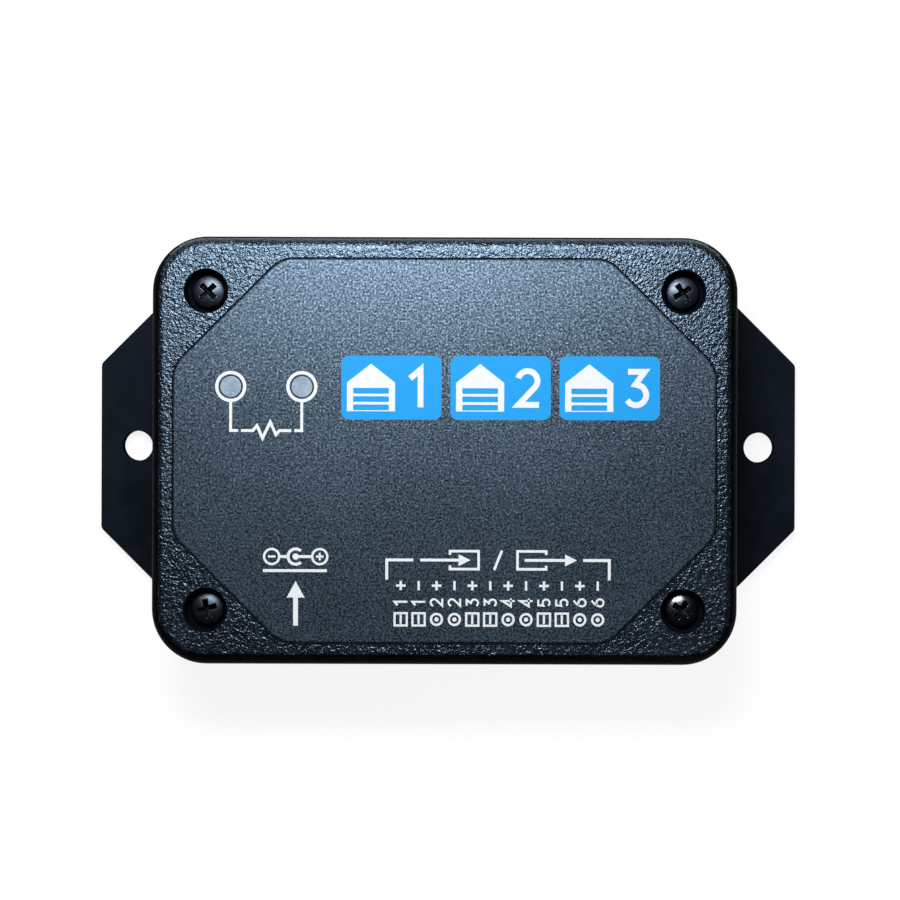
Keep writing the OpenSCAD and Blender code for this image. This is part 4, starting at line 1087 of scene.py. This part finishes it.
def radio_contacts():
    """Edge contacts along the radio module, and its printed aerial."""
    low, high = node_box("radio_board")
    gold = Sheet(low.z + 0.05, high.z + INK_FILM)
    for i in range(14):
        for y in (low.y, high.y):
            gold.shape(rounded_box((high.x - 2.5 - i * 1.27, y), 0.8, 1.0, 0.15, 2))
    gold.low = high.z - SUNK
    left, right = low.x + 1.1, node_box("radio_shield")[0].x - 1.1
    aerial = []
    for i in range(7):
        y = low.y + 2.2 + i * 2.0
        aerial += [(left, y), (right, y)] if i % 2 else [(right, y), (left, y)]
    gold.line(aerial, 0.6)
    gold.piece("radio_contacts", "base", GOLD, "gold_pin")


def solder_joints():
    """A small cone of solder around each terminal leg."""
    profile = ((1.05, 0.0), (0.9, 0.1), (0.68, 0.35), (0.58, 0.7), (0.5, 0.78))
    around = 24
    leg_y, foot = PIN_HIGH.y - TERMINAL_PIN / 2, BOARD_TOP - 0.01
    points, faces = [], []
    for leg_x in TERMINAL_XS:
        start = len(points)
        for radius, z in profile:
            points += [(x, y, foot + z) for x, y in circle((leg_x, leg_y), radius, around)]
        faces += tube_faces(start, len(profile), around)
        last = start + (len(profile) - 1) * around
        faces.append(tuple(last + i for i in range(around)))
        faces.append(tuple(start + i for i in reversed(range(around))))
    new_piece("solder_joints", points, faces, "base", TIN, 50)


def dress_board():
    copper, pads, silk = (Sheet(*film(BOARD_TOP, thick)) for thick in (COPPER_FILM, PAD_FILM, SILK_FILM))
    copper_traces(copper, pads)
    leg_traces(copper, pads)
    solder_pads(pads)
    silkscreen(silk)
    copper.piece("copper_traces", "base", TRACE_MASK, "board")
    pads.piece("solder_pads", "base", TIN, "tinned")
    silk.piece("silkscreen", "base", SILK_WHITE, "board")
    relay_print()
    package_marks()
    lamp_lenses()
    radio_contacts()
    solder_joints()


for name, width in EASED_NODES.items():
    ease_node(name, width)
dress_board()


# Floor and light, in metres

FLOOR_REACH = 8
FLOOR_DROP = 0.00005
FLOOR_GLOW = 0.86
HORIZON_LIGHT = 0.7
ZENITH_LIGHT = 0.03
MIRRORED_LIGHT = 0.13


def floor_finish():
    """Pale floor, white with a soft shadow to a camera, a mirror or glass, and clear from below."""
    material = bpy.data.materials.new("floor_white")
    material.use_nodes = True
    tree = material.node_tree
    tree.nodes.clear()
    path = add(tree, "LightPath").outputs
    seen = maths(tree, "MAXIMUM", path["Is Camera Ray"], path["Is Glossy Ray"])
    seen = maths(tree, "MAXIMUM", seen, path["Is Transmission Ray"])
    plain = add(tree, "BsdfDiffuse", {"Color": (0.8, 0.8, 0.8, 1)}).outputs[0]
    shadowed = add(tree, "BsdfDiffuse", {"Color": (0.25, 0.25, 0.25, 1)}).outputs[0]
    glow = add(tree, "Emission", {"Color": (1, 1, 1, 1), "Strength": FLOOR_GLOW}).outputs[0]
    white = add(tree, "AddShader", {0: shadowed, 1: glow}).outputs[0]
    above = add(tree, "MixShader", {0: seen, 1: plain, 2: white}).outputs[0]
    below = add(tree, "BsdfTransparent").outputs[0]
    backfacing = add(tree, "NewGeometry").outputs["Backfacing"]
    sided = add(tree, "MixShader", {0: backfacing, 1: above, 2: below}).outputs[0]
    add(tree, "OutputMaterial", {"Surface": sided})
    return material


def make_floor():
    square = corners(-FLOOR_REACH, -FLOOR_REACH, FLOOR_REACH, FLOOR_REACH)
    mesh = bpy.data.meshes.new("floor")
    mesh.from_pydata([(x, y, 0) for x, y in square], [], [(0, 1, 2, 3)])
    mesh.materials.append(floor_finish())
    floor = placed("floor", mesh)
    floor.location.z = -FLOOR_DROP


def make_light(name, place, target, size, power):
    """A soft box that the camera doesn't see."""
    lamp = bpy.data.lights.new(name, "AREA")
    lamp.shape = "RECTANGLE"
    lamp.size, lamp.size_y = size
    lamp.energy = power
    holder = placed(name, lamp)
    holder.location = place
    holder.rotation_euler = (Vector(target) - Vector(place)).to_track_quat("-Z", "Y").to_euler()
    holder.visible_camera = False


def make_world():
    """Dim surround, darker overhead, with a low white backdrop that a camera, a mirror or glass sees."""
    world = bpy.data.worlds.new("surround")
    world.use_nodes = True
    tree = world.node_tree
    path = add(tree, "LightPath").outputs
    upward = add(tree, "SeparateXYZ", {"Vector": add(tree, "TexCoord").outputs["Generated"]}).outputs["Z"]
    dim = eased_range(tree, upward, 0.0, 0.5, HORIZON_LIGHT, ZENITH_LIGHT)
    backdrop = eased_range(tree, upward, 0.0, 0.15, 1.0, 0.0)
    mirrored = maths(tree, "MAXIMUM", path["Is Glossy Ray"], path["Is Transmission Ray"])
    reflected = maths(tree, "MULTIPLY", mirrored, backdrop)
    seen = maths(tree, "MAXIMUM", path["Is Camera Ray"], reflected)
    unseen = maths(tree, "SUBTRACT", 1.0, seen)
    left = maths(tree, "MULTIPLY", unseen, raised(tree, 1.0, mirrored, MIRRORED_LIGHT - 1))
    strength = raised(tree, seen, left, dim)
    set_inputs(tree, tree.nodes["Background"], {"Color": (1, 1, 1, 1), "Strength": strength})
    bpy.context.scene.world = world


# Camera, in millimetres: it looks straight down, and its axis meets the photograph at the pixel AXIS

PICTURE = 900
AXIS = (500.4, 387.8)
MIDDLE = (444.4, 451.1)
MM_PER_PIXEL = 0.1954
CAMERA_DISTANCE = 370
ROLL = 0.18
SENSOR = 36


def make_camera():
    camera = bpy.data.cameras.new("camera")
    camera.sensor_width = SENSOR
    camera.lens = CAMERA_DISTANCE / MM_PER_PIXEL / PICTURE * SENSOR
    camera.shift_x = (PICTURE / 2 - AXIS[0]) / PICTURE
    camera.shift_y = (AXIS[1] - PICTURE / 2) / PICTURE
    camera.clip_start, camera.clip_end = 0.01, 20
    offset = ((AXIS[0] - MIDDLE[0]) * MM_PER_PIXEL, (MIDDLE[1] - AXIS[1]) * MM_PER_PIXEL)
    x, y = turned([offset], (0, 0), ROLL)[0]
    holder = placed("camera", camera)
    holder.location = (x * MM, y * MM, (CASE_HIGH.z + CAMERA_DISTANCE) * MM)
    holder.rotation_euler = (0, 0, math.radians(ROLL))
    bpy.context.scene.camera = holder


make_floor()
make_world()
make_light("key_box", (-0.012, 0.104, 0.235), (0, 0, 0.03), (0.13, 0.07), 0.46)
make_light("side_box", (-0.07, 0.235, 0.375), (0, 0, 0.03), (0.18, 0.14), 0.39)
make_light("front_box", (0.045, -0.205, 0.115), (0.01, -0.02, 0.03), (0.12, 0.08), 0.12)
make_camera()
bpy.context.scene.view_settings.view_transform = "Standard"
